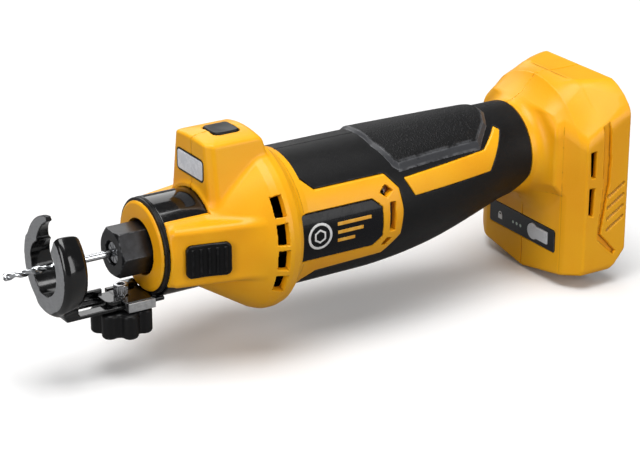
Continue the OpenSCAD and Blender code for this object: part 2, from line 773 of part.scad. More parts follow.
housing_left();
housing_right();
grip_cover_left();
grip_cover_right();
grip_pad();
grip_inlay_left();
grip_inlay_right();
badge_left();
badge_right();
nose_bezel();
seal_ring();
nose_collar();
rear_bearing_plate();
lamp_lens();
lamp_board();
slide_switch();
switch_body();
lock_button();
lock_pin();
lock_spring();
cutting_bit();
collet();
collet_nut();
spindle();
front_bearing_outer();
front_bearing_inner();
front_bearing_balls();
rear_bearing_outer();
rear_bearing_inner();
rear_bearing_balls();
rotor_core();
rotor_magnets();
stator_core();
stator_windings();
cooling_fan();
controller_board();
board_capacitor();
power_leads();
battery_rails();
terminal_block();
terminal_blades();
indicator_panel();
indicator_lights();
panel_button();
depth_guide();
guide_bracket();
bracket_screws();
clamp_bolt();
clamp_saddle();
clamp_knob();
housing_screws();
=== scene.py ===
"""A cordless rotary tool with a round grip, a cutting bit and a depth guide.

X is the spindle axis: the bit points to -X and the battery foot is at +X. Z is up, with the
lamp and the lock button on top. Left is -Y and right is +Y. Shapes are modelled in
millimetres in the CAD frame, and meshes are written in metres.
"""
import bmesh
import bpy
import math
import numpy as np
from functools import reduce
from itertools import combinations
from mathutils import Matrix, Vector
from numpy import clip, hypot, maximum, minimum


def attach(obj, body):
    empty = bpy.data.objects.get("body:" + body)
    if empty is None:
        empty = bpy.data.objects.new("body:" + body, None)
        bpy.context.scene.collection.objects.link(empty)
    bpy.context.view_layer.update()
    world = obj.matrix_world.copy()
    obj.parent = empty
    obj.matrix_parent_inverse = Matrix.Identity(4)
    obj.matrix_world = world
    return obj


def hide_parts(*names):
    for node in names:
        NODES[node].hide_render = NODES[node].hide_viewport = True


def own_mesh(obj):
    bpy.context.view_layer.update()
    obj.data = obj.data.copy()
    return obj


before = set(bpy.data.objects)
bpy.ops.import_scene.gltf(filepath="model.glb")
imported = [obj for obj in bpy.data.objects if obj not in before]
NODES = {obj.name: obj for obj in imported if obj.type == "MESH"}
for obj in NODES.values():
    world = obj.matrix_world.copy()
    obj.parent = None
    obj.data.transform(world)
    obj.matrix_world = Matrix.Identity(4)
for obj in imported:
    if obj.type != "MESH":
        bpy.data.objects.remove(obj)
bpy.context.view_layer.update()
SCENE = bpy.context.scene
F = np.float32
MM = 0.001
SIDES = {"left": -1, "right": 1}   # sign of y on each side

# Places shared by several pieces, in millimetres
LOCK_X = 81.5        # upright axis of the lock button, pin and spring
CLAMP_X = 33.8       # upright axis of the clamp bolt and knob


# =====================================================================
# 1. Distance fields: functions of (x, y, z) that are negative inside.
# =====================================================================
def join(*forms):
    return reduce(minimum, forms)


def common(*forms):
    return reduce(maximum, forms)


def cut(form, *tools):
    return common(form, *[-tool for tool in tools])


def soft_join(first, second, width):
    """Union with a blend of the given width."""
    mix = clip(0.5 + 0.5 * (second - first) / width, 0, 1)
    return second + (first - second) * mix - width * mix * (1 - mix)


def soft_cut(form, tool, width):
    return -soft_join(-form, tool, width)


def round_common(first, second, radius):
    """Intersection with a round edge."""
    return (minimum(maximum(first, second), -radius)
            + hypot(maximum(first + radius, 0), maximum(second + radius, 0)))


def round_cut(form, tool, radius):
    return round_common(form, -tool, radius)


def slab(value, centre, half):
    return abs(value - centre) - half


def disc(u, v, centre_u, centre_v, radius):
    return hypot(u - centre_u, v - centre_v) - radius


def rectangle(low_u, high_u, low_v, high_v):
    return [(low_u, low_v), (high_u, low_v), (high_u, high_v), (low_u, high_v)]


def polygon(points, u, v):
    """Signed distance to a polygon."""
    nearest = None
    outside = np.ones(np.shape(u), bool)
    for here, last in zip(points, points[-1:] + points[:-1]):
        edge_u, edge_v = last[0] - here[0], last[1] - here[1]
        from_u, from_v = u - F(here[0]), v - F(here[1])
        along = clip((from_u * edge_u + from_v * edge_v)
                     / (edge_u * edge_u + edge_v * edge_v), 0, 1)
        gap_u, gap_v = from_u - edge_u * along, from_v - edge_v * along
        square = gap_u * gap_u + gap_v * gap_v
        nearest = square if nearest is None else minimum(nearest, square)
        above = v >= here[1]
        below = v < last[1]
        left = edge_u * from_v > edge_v * from_u
        outside ^= (above & below & left) | (~above & ~below & ~left)
    nearest = np.sqrt(nearest)
    return np.where(outside, nearest, -nearest)


def inset(points, distance):
    """The polygon moved inwards by a distance."""
    area = sum(a[0] * b[1] - b[0] * a[1] for a, b in zip(points, points[1:] + points[:1]))
    turn = 1 if area > 0 else -1
    moved = []
    for i, here in enumerate(points):
        normals = []
        for start, end in ((points[i - 1], here), (here, points[(i + 1) % len(points)])):
            along = np.array([end[0] - start[0], end[1] - start[1]], float)
            along /= np.linalg.norm(along)
            normals.append(np.array([-along[1], along[0]]) * turn)
        corner = normals[0] + normals[1]
        corner = corner / max(1 + float(normals[0] @ normals[1]), 0.3)
        moved.append((here[0] + corner[0] * distance, here[1] + corner[1] * distance))
    return moved


def rounded(points, u, v, radius):
    """Polygon with round corners."""
    return polygon(inset(points, radius), u, v) - radius


def box(x, y, z, lo, hi, edge=0.0):
    gaps = [abs(value - (a + b) / 2) - ((b - a) / 2 - edge)
            for value, a, b in zip((x, y, z), lo, hi)]
    return np.sqrt(sum(maximum(gap, 0) ** 2 for gap in gaps)) + minimum(common(*gaps), 0) - edge


def cylinder(along, radial, start, end, radius, edge=0.0):
    """Cylinder from axial position and radial distance."""
    ends, wall = slab(along, (start + end) / 2, (end - start) / 2), radial - radius
    return round_common(ends, wall, edge) if edge else common(ends, wall)


def hexagon(u, v, half, edge=0.0):
    form = None
    for angle in (0, 60, 120):
        angle = math.radians(angle)
        flat = abs(u * math.cos(angle) + v * math.sin(angle)) - half
        if form is None:
            form = flat
        else:
            form = round_common(form, flat, edge) if edge else common(form, flat)
    return form


# =====================================================================
# 2. Meshing by surface nets
# =====================================================================
BLOCK = 8            # grid points along a block; blocks far from the surface are skipped
CORNERS = [(i, j, k) for i in (0, 1) for j in (0, 1) for k in (0, 1)]


def evaluate(field, points):
    """The field over many points, in chunks that keep their order."""
    out = np.empty(len(points), F)
    for i in range(0, len(points), 150000):
        some = points[i:i + 150000]
        out[i:i + 150000] = field(some[:, 0], some[:, 1], some[:, 2])
    return out


def grid(axes):
    return np.stack(np.meshgrid(*axes, indexing="ij"), -1).reshape(-1, 3)


def sample(field, lo, blocks, step):
    """Field values on the grid: exact near the surface, one value per block elsewhere."""
    centres = grid([lo[a] + (np.arange(blocks[a]) + 0.5) * BLOCK * step for a in range(3)])
    coarse = evaluate(field, centres.astype(F))
    values = coarse.reshape(blocks)
    for axis in range(3):
        values = np.repeat(values, BLOCK, axis)
    # half a block's diagonal, with a margin for fields that overstate distance
    near = np.nonzero(np.abs(coarse) < BLOCK * step * 0.5 * 1.7321 * 1.35 + 0.3)[0]
    view = values.reshape(blocks[0], BLOCK, blocks[1], BLOCK, blocks[2], BLOCK)
    offsets = grid([np.arange(BLOCK)] * 3)
    indices = np.stack(np.unravel_index(near, blocks), -1)
    for i in range(0, len(near), 400):
        some = indices[i:i + 400]
        points = lo + (some[:, None, :] * BLOCK + offsets[None]) * step
        fine = evaluate(field, points.reshape(-1, 3).astype(F))
        view[some[:, 0], :, some[:, 1], :, some[:, 2], :] = fine.reshape(-1, BLOCK, BLOCK, BLOCK)
    # the grid's faces count as outside, so that the mesh is closed
    for axis in range(3):
        for end in (0, -1):
            face = (slice(None),) * axis + (end,)
            values[face] = maximum(values[face], step)
    return values


def gradient(field, points):
    reach = 0.12
    slope = np.empty((len(points), 3))
    for axis in range(3):
        shift = np.zeros(3)
        shift[axis] = reach
        ahead = evaluate(field, (points + shift).astype(F)).astype(float)
        slope[:, axis] = (ahead - evaluate(field, (points - shift).astype(F))) / (2 * reach)
    return slope


def snap(field, points, step):
    """Move points along the gradient onto the surface, by at most 0.6 of a step."""
    slope = gradient(field, points)
    value = evaluate(field, points.astype(F)).astype(float)
    move = (value / maximum((slope ** 2).sum(1), 0.05))[:, None] * slope
    size = np.linalg.norm(move, axis=1, keepdims=True)
    return points - move * minimum(1, 0.6 * step / maximum(size, 1e-9))


def net(values, lo, step):
    """One vertex in each cell the surface crosses, one quad around each crossed grid edge."""
    count = np.array(values.shape)
    inside = values < 0
    filled = np.zeros(tuple(count - 1), np.uint8)
    for i, j, k in CORNERS:
        filled += inside[i:count[0] - 1 + i, j:count[1] - 1 + j, k:count[2] - 1 + k]
    cells = np.argwhere((filled > 0) & (filled < 8))
    number = np.full(tuple(count - 1), -1, np.int32)
    number[cells[:, 0], cells[:, 1], cells[:, 2]] = np.arange(len(cells), dtype=np.int32)
    at_corner = [values[cells[:, 0] + i, cells[:, 1] + j, cells[:, 2] + k] for i, j, k in CORNERS]
    total = np.zeros((len(cells), 3))
    crossings = np.zeros(len(cells))
    for a, b in combinations(range(8), 2):
        start, end = np.array(CORNERS[a]), np.array(CORNERS[b])
        if abs(start - end).sum() != 1:
            continue
        crossed = (at_corner[a] < 0) != (at_corner[b] < 0)
        part = at_corner[a][crossed] / (at_corner[a][crossed] - at_corner[b][crossed])
        total[crossed] += start + (end - start) * part[:, None]
        crossings[crossed] += 1
    points = lo + (cells + total / crossings[:, None]) * step
    quads = []
    for axis in range(3):
        u, v = (axis + 1) % 3, (axis + 2) % 3
        edges = np.argwhere(np.diff(inside, axis=axis))
        edges = edges[(edges[:, u] > 0) & (edges[:, v] > 0)
                      & (edges[:, u] < count[u] - 1) & (edges[:, v] < count[v] - 1)]
        outward = inside[edges[:, 0], edges[:, 1], edges[:, 2]]
        ring = []
        for shift_u, shift_v in ((-1, -1), (0, -1), (0, 0), (-1, 0)):
            cell = edges.copy()
            cell[:, u] += shift_u
            cell[:, v] += shift_v
            ring.append(number[cell[:, 0], cell[:, 1], cell[:, 2]])
        ring = np.stack(ring, 1)
        ring[~outward] = ring[~outward][:, ::-1]
        quads.append(ring)
    quads = np.concatenate(quads)
    return points, quads[(quads >= 0).all(1)]


def field_mesh(field, lo, hi, step, relax):
    """Closed quad mesh of the surface inside a box: points, quads, normals and curvature."""
    lo = np.array(lo, float) - 1.5 * step
    hi = np.array(hi, float) + 1.5 * step
    blocks = np.ceil((hi - lo) / (BLOCK * step)).astype(int)
    points, quads = net(sample(field, lo, blocks, step), lo, step)
    points = snap(field, points, step)
    starts, ends = quads.ravel(), np.roll(quads, -1, 1).ravel()
    total = len(points)
    degree = np.bincount(starts, minlength=total) + np.bincount(ends, minlength=total)
    for _ in range(relax):
        mean = np.stack([(np.bincount(starts, points[ends, k], total)
                          + np.bincount(ends, points[starts, k], total)) / maximum(degree, 1)
                         for k in range(3)], 1)
        points = snap(field, points * 0.4 + mean * 0.6, step)
    points = snap(field, points, step)
    slope = gradient(field, points)
    normals = slope / maximum(np.linalg.norm(slope, axis=1, keepdims=True), 1e-9)
    # the field's Laplacian: positive on outside edges, negative in corners
    reach = 0.45
    curvature = -6 * evaluate(field, points.astype(F)).astype(float)
    for axis in range(3):
        shift = np.zeros(3)
        shift[axis] = reach
        curvature += (evaluate(field, (points + shift).astype(F))
                      + evaluate(field, (points - shift).astype(F)))
    return points, quads, normals, curvature / reach ** 2


def to_object(name, points, quads, materials, normals=None, curvature=None, index=None):
    mesh = bpy.data.meshes.new(name)
    mesh.vertices.add(len(points))
    mesh.vertices.foreach_set("co", (points * MM).astype(F).ravel())
    mesh.loops.add(quads.size)
    mesh.loops.foreach_set("vertex_index", quads.astype(np.int32).ravel())
    mesh.polygons.add(len(quads))
    mesh.polygons.foreach_set("loop_start", np.arange(0, quads.size, 4, dtype=np.int32))
    mesh.update(calc_edges=True)
    mesh.validate()
    mesh.polygons.foreach_set("use_smooth", np.ones(len(mesh.polygons), bool))
    for material in materials:
        mesh.materials.append(material)
    # validate() may drop elements, and then the per-element data no longer fits
    if curvature is not None and len(mesh.vertices) == len(curvature):
        layer = mesh.attributes.new("curv", "FLOAT", "POINT")
        layer.data.foreach_set("value", clip(curvature, -4, 4).astype(F))
    if index is not None and len(mesh.polygons) == len(quads):
        mesh.polygons.foreach_set("material_index", index.astype(np.int32))
    if normals is not None and len(mesh.vertices) == len(normals):
        mesh.normals_split_custom_set_from_vertices(normals.astype(F))
    ob = bpy.data.objects.new(name, mesh)
    SCENE.collection.objects.link(ob)
    return ob


def register(ob, body, replaces):
    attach(ob, body)
    if replaces:
        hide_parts(replaces)


def piece(name, field, lo, hi, step, materials, replaces=None, body="housing",
          chooser=None, relax=2):
    """Mesh a field. chooser(centres, normals) gives each face's material number."""
    points, quads, normals, curvature = field_mesh(field, lo, hi, step, relax)
    index = None
    if chooser:
        index = chooser(points[quads].mean(1), normals[quads].mean(1))
    ob = to_object(name, points, quads, materials, normals, curvature, index)
    register(ob, body, replaces)


def side_piece(side, name, field, lo, hi, step, material, replaces=None, relax=2):
    """A piece on one side; the field takes the side's sign, the box is for the right."""
    sign = SIDES[side]
    low_y, high_y = (lo[1], hi[1]) if sign > 0 else (-hi[1], -lo[1])
    piece(name.format(side), lambda x, y, z: field(x, y, z, sign), (lo[0], low_y, lo[2]),
          (hi[0], high_y, hi[2]), step, [material],
          replaces and replaces.format(side), relax=relax)


def tube(name, rings, centres, material, flip_start):
    """Rings of points joined by quads and closed by flat fans around two end centres."""
    count, sides = rings.shape[:2]
    here = np.arange(sides)
    after = (here + 1) % sides
    quads = np.concatenate([
        np.stack([r * sides + here, r * sides + after,
                  (r + 1) * sides + after, (r + 1) * sides + here], 1)
        for r in range(count - 1)])
    ob = to_object(name, np.concatenate([rings.reshape(-1, 3), centres]), quads, [material])
    bm = bmesh.new()
    bm.from_mesh(ob.data)
    bm.verts.ensure_lookup_table()
    for end, ring, flip in ((0, 0, flip_start), (1, count - 1, False)):
        for a, b in zip(here, after):
            fan = [bm.verts[i] for i in (ring * sides + a, ring * sides + b, count * sides + end)]
            bm.faces.new(fan[::-1] if flip else fan).smooth = False
    bmesh.ops.recalc_face_normals(bm, faces=bm.faces)
    bm.to_mesh(ob.data)
    bm.free()
    return ob


# =====================================================================
# 3. Materials. Colours are given as 8-bit sRGB.
# =====================================================================
def srgb(*rgb):
    return tuple((c / 12.92) if c <= 0.04045 else ((c + 0.055) / 1.055) ** 2.4
                 for c in (value / 255 for value in rgb)) + (1.0,)


def shade(colour, factor):
    return tuple(c * factor for c in colour[:3]) + (1,)


class Mat:
    """A node material. Texture positions are millimetres of the part's own frame."""

    def __init__(self, name):
        self.material = bpy.data.materials.new(name)
        self.material.use_nodes = True
        self.tree = self.material.node_tree
        self.tree.nodes.clear()
        output = self.node("ShaderNodeOutputMaterial")
        self.shader = self.node("ShaderNodeBsdfPrincipled")
        self.feed(self.shader.outputs[0], output.inputs[0])
        coordinates = self.node("ShaderNodeTexCoord")
        scale = self.node("ShaderNodeVectorMath")
        scale.operation = "SCALE"
        scale.inputs["Scale"].default_value = 1000.0
        self.feed(coordinates.outputs["Object"], scale.inputs[0])
        self.place = scale.outputs[0]

    def node(self, kind):
        return self.tree.nodes.new(kind)

    def feed(self, value, socket):
        """Link an output, or set a plain value."""
        if hasattr(value, "links"):
            self.tree.links.new(value, socket)
        else:
            socket.default_value = value

    def stretched(self, factors):
        node = self.node("ShaderNodeVectorMath")
        node.operation = "MULTIPLY"
        self.feed(self.place, node.inputs[0])
        node.inputs[1].default_value = factors
        return node.outputs[0]

    def noise(self, scale, detail=3.0, roughness=0.5, place=None):
        node = self.node("ShaderNodeTexNoise")
        self.feed(place or self.place, node.inputs["Vector"])
        node.inputs["Scale"].default_value = scale
        node.inputs["Detail"].default_value = detail
        node.inputs["Roughness"].default_value = roughness
        return node.outputs[0]

    def voronoi(self, scale):
        node = self.node("ShaderNodeTexVoronoi")
        node.feature = "F1"
        self.feed(self.place, node.inputs["Vector"])
        node.inputs["Scale"].default_value = scale
        return node.outputs["Distance"]

    def ramp(self, value, *limits):
        """Smooth step; limits are from-low, from-high and then to-low, to-high."""
        node = self.node("ShaderNodeMapRange")
        node.interpolation_type = "SMOOTHSTEP"
        self.feed(value, node.inputs[0])
        for i, limit in enumerate(limits if len(limits) == 4 else limits + (0.0, 1.0)):
            node.inputs[i + 1].default_value = limit
        return node.outputs[0]

    def math(self, operation, first, second):
        node = self.node("ShaderNodeMath")
        node.operation = operation
        self.feed(first, node.inputs[0])
        self.feed(second, node.inputs[1])
        return node.outputs[0]

    def times(self, first, second):
        return self.math("MULTIPLY", first, second)

    def varied(self, value, amount, base):
        """base + amount * value"""
        return self.math("ADD", self.times(value, amount), base)

    def mix(self, factor, first, second):
        node = self.node("ShaderNodeMix")
        node.data_type = "RGBA"
        for value, i in ((factor, 0), (first, 6), (second, 7)):
            self.feed(value, node.inputs[i])
        return node.outputs[2]

    def patchy(self, value, low, high, first, second):
        """Two colours shared out by a texture value between low and high."""
        return self.mix(self.ramp(value, low, high), first, second)

    def curvature(self):
        node = self.node("ShaderNodeAttribute")
        node.attribute_name = "curv"
        return node.outputs["Fac"]

    def worn(self, colour, bare, edges, scale, patches, amount):
        """Rub edges to the bare colour: edges limits curvature, patches limits noise."""
        wear = self.times(self.ramp(self.curvature(), *edges),
                          self.ramp(self.noise(scale, 4.0), *patches))
        return self.mix(self.times(wear, amount), colour, bare)

    def bump(self, height, depth, strength, under=None):
        """Bump of a depth in millimetres, laid over another if given."""
        node = self.node("ShaderNodeBump")
        node.inputs["Distance"].default_value = depth * MM
        node.inputs["Strength"].default_value = strength
        self.feed(height, node.inputs["Height"])
        if under is not None:
            self.feed(under, node.inputs["Normal"])
        return node.outputs[0]

    def set(self, **values):
        for name, value in values.items():
            self.feed(value, self.shader.inputs[name.replace("_", " ")])


def plastic(name, base, dark, light, rough, grain, depth, coat=0.0, wear=True, spec=0.5, sss=0.0):
    """Moulded plastic; grain is its size and depth its height, in millimetres."""
    m = Mat(name)
    base, dark, light = srgb(*base), srgb(*dark), srgb(*light)
    broad = m.noise(0.035, 2.0)
    fine = m.noise(2.2, 2.0)
    colour = m.patchy(broad, 0.35, 0.68, base, dark)
    colour = m.mix(m.times(m.ramp(fine, 0.45, 0.75), 0.12), colour, light)
    # wear turns on both the worn edges and the painted corner shade
    if wear:
        colour = m.worn(colour, light, edges=(0.45, 1.8), scale=0.35, patches=(0.42, 0.66),
                        amount=0.5)
        # painted shade: concave corners and creases darkened towards a dim copy of the dark colour
        corner_shade = m.ramp(m.curvature(), -0.2, -1.2)
        colour = m.mix(m.times(corner_shade, 0.5), colour, shade(dark, 0.35))
    m.set(Base_Color=colour, Specular_IOR_Level=spec)
    m.set(Roughness=m.varied(m.noise(0.12, 4.0), amount=0.14, base=rough - 0.07))
    grain_bump = m.bump(m.noise(1 / grain, 2.0), depth, strength=0.6)
    m.set(Normal=m.bump(m.noise(0.06, 1.0), depth=0.05, strength=0.5, under=grain_bump))
    if coat:
        m.set(Coat_Weight=coat, Coat_Roughness=0.12)
    if sss:
        m.set(Subsurface_Weight=sss, Subsurface_Radius=(0.004, 0.002, 0.0008))
    return m.material


def gloss(name, base, rough=0.1, shine=0.4):
    m = Mat(name)
    base = srgb(*base)
    colour = m.patchy(m.noise(0.08, 2.0), 0.3, 0.7, base, shade(base, 1.5))
    colour = m.worn(colour, srgb(95, 96, 98), edges=(0.6, 2.2), scale=0.6,
                    patches=(0.5, 0.68), amount=0.35)
    smears = m.noise(0.25, 5.0, 0.65)
    m.set(Base_Color=colour,
          Roughness=m.varied(m.ramp(smears, 0.42, 0.7), amount=0.12, base=rough),
          Specular_IOR_Level=shine, Coat_Weight=shine, Coat_Roughness=0.06,
          Normal=m.bump(m.noise(0.18, 2.0), depth=0.02, strength=0.4))
    return m.material


def rubber(name, base, light, cell, depth, rough):
    """Over-moulded rubber: pebble grain, with its raised cells painted lighter as highlights."""
    m = Mat(name)
    base, light = srgb(*base), srgb(*light)
    cells = m.voronoi(1 / cell)
    small_cells = m.voronoi(1 / (cell * 0.55))
    fine = m.noise(3.0 / cell, 3.0)
    height = m.math("ADD", m.ramp(cells, 0.0, 0.55, 1.0, 0.0),
                    m.times(m.ramp(small_cells, 0.0, 0.6, 1.0, 0.0), 0.45))
    height = m.math("ADD", height, m.times(fine, 0.35))
    colour = m.patchy(m.noise(0.05, 3.0), 0.3, 0.7, base, shade(base, 1.35))
    # painted highlight: the highest cells are mixed towards the light colour
    colour = m.mix(m.times(m.ramp(height, 0.9, 1.5), 0.25), colour, light)
    colour = m.worn(colour, light, edges=(0.35, 1.4), scale=0.3, patches=(0.35, 0.6), amount=0.45)
    m.set(Base_Color=colour,
          Roughness=m.varied(m.noise(0.1, 4.0), amount=0.16, base=rough - 0.08),
          Specular_IOR_Level=0.24, Normal=m.bump(height, depth, strength=0.8))
    return m.material


# How texture space is stretched for tool marks turned about X or Z, or drawn along X
TOOL_MARKS = {"x": (14.0, 0.6, 0.6), "z": (0.6, 0.6, 14.0), "long": (0.12, 9.0, 9.0)}


def metal(name, base, rough, marks, depth, dark=None, mottle=0.0):
    """Turned or ground metal with fine tool marks; mottle is the share of the dark colour."""
    m = Mat(name)
    base = srgb(*base)
    lines = m.noise(1.0, 3.0, 0.6, m.stretched(TOOL_MARKS[marks]))
    colour = m.patchy(lines, 0.3, 0.75, base, shade(base, 0.72))
    if mottle:
        colour = m.mix(m.times(m.ramp(m.noise(0.6, 5.0), 0.4, 0.65), mottle), colour, srgb(*dark))
    m.set(Base_Color=colour, Metallic=1.0,
          Roughness=m.varied(lines, amount=0.16, base=rough - 0.06),
          Normal=m.bump(lines, depth, strength=0.5))
    return m.material


def blackened(name, rough):
    """Black oxide on machined steel, rubbed bright along the edges."""
    m = Mat(name)
    lines = m.noise(1.0, 3.0, 0.6, m.stretched((0.5, 5.0, 5.0)))
    colour = m.patchy(m.noise(0.4, 4.0), 0.3, 0.7, srgb(24, 24, 26), srgb(40, 40, 43))
    colour = m.worn(colour, srgb(120, 121, 124), edges=(0.8, 2.6), scale=0.9,
                    patches=(0.4, 0.65), amount=0.6)
    m.set(Base_Color=colour, Metallic=0.55,
          Roughness=m.varied(lines, amount=0.2, base=rough - 0.05),
          Specular_IOR_Level=0.7, Normal=m.bump(lines, depth=0.006, strength=0.5))
    return m.material


def satin_front_face():
    """The guide's contact face, coloured a satin grey."""
    m = Mat("guide_face")
    swirl = m.noise(1.0, 4.0, 0.6, m.stretched((1.0, 0.35, 7.0)))
    colour = m.patchy(swirl, 0.3, 0.75, srgb(168, 169, 171), srgb(132, 133, 136))
    m.set(Base_Color=colour, Metallic=0.4, Roughness=m.varied(swirl, amount=0.2, base=0.36),
          Normal=m.bump(swirl, depth=0.01, strength=0.5))
    return m.material


def lens_plastic():
    m = Mat("lamp_lens")
    cells = m.voronoi(0.9)
    colour = m.patchy(m.noise(0.15, 2.0), 0.3, 0.7, srgb(226, 228, 233), srgb(206, 209, 216))
    m.set(Base_Color=colour, Roughness=m.varied(m.noise(0.5, 3.0), amount=0.1, base=0.22),
          Subsurface_Weight=0.3, Subsurface_Radius=(0.002, 0.002, 0.002),
          Coat_Weight=0.5, Coat_Roughness=0.08, Normal=m.bump(cells, depth=0.05, strength=0.35),
          Emission_Color=srgb(235, 238, 245), Emission_Strength=0.06)
    return m.material


def board(name, first, second):
    """Circuit board with a brick pattern for its tracks."""
    m = Mat(name)
    tracks = m.node("ShaderNodeTexBrick")
    first, second = srgb(*first), srgb(*second)
    for key, value in (("Vector", m.place), ("Scale", 0.35), ("Color1", first),
                       ("Color2", second), ("Mortar", shade(first, 1.6))):
        m.feed(value, tracks.inputs[key])
    m.set(Base_Color=tracks.outputs[0],
          Roughness=m.varied(m.noise(0.8, 3.0), amount=0.2, base=0.28),
          Normal=m.bump(tracks.outputs["Fac"], depth=0.03, strength=0.6))
    return m.material


yellow = plastic("yellow_moulded", (253, 180, 16), (249, 170, 10), (255, 204, 64),
                 rough=0.38, grain=0.3, depth=0.010, coat=0.04, spec=0.32, sss=0.04)
black = plastic("black_moulded", (13, 13, 14), (9, 9, 10), (46, 46, 48),
                rough=0.34, grain=0.35, depth=0.02, spec=0.2)
knob_black = plastic("knob_moulded", (14, 14, 15), (10, 10, 11), (44, 44, 46),
                     rough=0.40, grain=0.45, depth=0.03, spec=0.28)
panel_film = plastic("panel_film", (26, 28, 33), (20, 22, 27), (90, 92, 96),
                     rough=0.35, grain=0.6, depth=0.006, coat=0.2)
silver = plastic("silver_button", (206, 208, 212), (188, 190, 195), (240, 240, 242),
                 rough=0.28, grain=0.5, depth=0.006, coat=0.3)
mark_white = plastic("mark_white", (236, 236, 236), (220, 220, 220), (250, 250, 250),
                     rough=0.4, grain=0.5, depth=0.004)
mark_yellow = plastic("mark_yellow", (240, 170, 40), (226, 158, 34), (250, 200, 90),
                      rough=0.4, grain=0.5, depth=0.004)
gloss_black = gloss("gloss_black", (7, 7, 8))
badge_black = gloss("badge_black", (12, 12, 15), rough=0.22, shine=0.14)
paint = gloss("guide_paint", (7, 7, 8), rough=0.12)
soft_grip = rubber("soft_grip", (14, 14, 15), (66, 67, 70), cell=0.55, depth=0.05, rough=0.42)
grained = rubber("grained_pad", (17, 17, 18), (96, 97, 100), cell=1.0, depth=0.16, rough=0.40)
# painted highlight: the pad's bevel gets a lighter grey copy of the pad rubber
pad_bevel_highlight = rubber("pad_bevel_highlight", (54, 55, 58), (120, 121, 124), cell=0.4, depth=0.02, rough=0.3)
seal = rubber("seal_rubber", (14, 14, 15), (60, 60, 62), cell=0.8, depth=0.01, rough=0.28)
steel = metal("polished_steel", (226, 228, 231), rough=0.17, marks="long", depth=0.006)
turned = metal("turned_steel", (196, 198, 202), rough=0.26, marks="x", depth=0.01)
zinc = metal("zinc_plate", (214, 215, 216), rough=0.38, marks="long", depth=0.008,
             dark=(168, 170, 172), mottle=0.5)
screw_steel = metal("screw_steel", (205, 206, 209), rough=0.22, marks="z", depth=0.01)
bearing = metal("bearing_steel", (210, 212, 215), rough=0.16, marks="x", depth=0.004)
laminations = metal("laminations", (140, 143, 148), rough=0.45, marks="x", depth=0.05,
                    dark=(90, 92, 96), mottle=0.3)
magnet = metal("magnet_nickel", (188, 188, 190), rough=0.3, marks="long", depth=0.005)
copper = metal("enamelled_copper", (200, 110, 60), rough=0.3, marks="long", depth=0.06)
brass = metal("stamped_brass", (214, 184, 110), rough=0.25, marks="z", depth=0.008)
cast = metal("cast_aluminium", (178, 180, 183), rough=0.48, marks="long", depth=0.03,
             dark=(130, 132, 136), mottle=0.5)
oxide = blackened("black_oxide", rough=0.3)
guide_face = satin_front_face()
lens_clear = lens_plastic()
green_board = board("green_board", (24, 92, 52), (20, 80, 46))
white_board = board("white_board", (222, 222, 216), (210, 210, 204))
wire_red = plastic("wire_red", (176, 30, 24), (150, 22, 18), (210, 70, 60),
                   rough=0.35, grain=0.6, depth=0.01, wear=False)
sleeve = plastic("capacitor_sleeve", (30, 32, 52), (24, 26, 44), (80, 82, 110),
                 rough=0.25, grain=0.6, depth=0.01, coat=0.4, wear=False)
light_pipe = plastic("light_pipe", (196, 214, 202), (180, 200, 188), (235, 245, 238),
                     rough=0.2, grain=0.6, depth=0.004, coat=0.5)

# =====================================================================
# 4. Housing and grip
# =====================================================================
# Taper of the grip: x, radius, axis height
GRIP_STATIONS = np.array([
    (80, 29.6, 0), (100, 29.6, 0), (144, 29.4, 0.2), (160, 28.6, 0.8), (176, 27.2, 2.0),
    (190, 25.3, 3.8), (204, 23.0, 5.8), (216, 21.0, 7.8), (232, 20.4, 8.5), (250, 20.4, 8.5)])
GRIP_X = np.arange(80, 250.1, 0.5)


def smoothed(column):
    """A station column at every GRIP_X, averaged over 25 neighbours."""
    fine = np.interp(GRIP_X, GRIP_STATIONS[:, 0], GRIP_STATIONS[:, column])
    return np.convolve(np.pad(fine, 12, mode="edge"), np.ones(25) / 25, "valid").astype(F)


GRIP_RADIUS, GRIP_AXIS = smoothed(1), smoothed(2)

# Outlines on the sides, as x, z
PANEL = [(99, -24), (104.9, -23.4), (111.5, -17.5), (143.5, -16.2), (151, -8), (152, 3),
         (151, 12.2), (145.8, 18.3), (111.6, 18.2), (106.3, 23), (99, 24)]
BADGE = [(101.6, -10.3), (137, -10.3), (141.4, -6.5), (141.4, 6.5), (137, 10.3), (101.6, 10.3)]
INLAY = [(154.4, 15.3), (158.5, 7.4), (200.4, 8.5), (210.8, 23.1), (208.6, 24.4), (198.8, 17.6)]
GRIP_SLOTS = [   # outline, corner radius
    ([(141.2, 12.0), (144.6, 14.6), (147.6, 11.8), (144.2, 9.4)], 0.3),
    ([(144.9, -5.2), (147.7, -5.2), (148.1, 7.4), (145.2, 7.4)], 0.35),
    ([(141.6, -11.2), (144.2, -8.2), (146.6, -8.6), (144.0, -11.6)], 0.3)]
FOOT_GROOVE = [(251.3, 31.6), (254.3, 27.4), (255.2, 7.5), (254.9, -3.2), (250.95, -27),
               (259.6, -36.2), (258.4, -37.8), (249.1, -29.2), (251.6, -5), (251.1, 17.4)]
FOOT_SLOTS = [[(244.4, 0.9), (246.8, 0.3), (246.9, 12.9), (243.9, 12.4)],
              [(243.9, -16.6), (246.1, -17.4), (246.8, -4.4), (243.9, -4.2)]]
# Outline of the pad on top of the grip, as x, y
PAD = [(145, 0), (145.4, 6), (146, 12), (150.7, 21.8), (153.4, 23.6), (197, 20.4), (205.4, 13),
       (209.2, 5.5), (209.6, 0), (209.2, -5.5), (205.4, -13), (197, -20.4), (153.4, -23.6),
       (150.7, -21.8), (146, -12), (145.4, -6)]
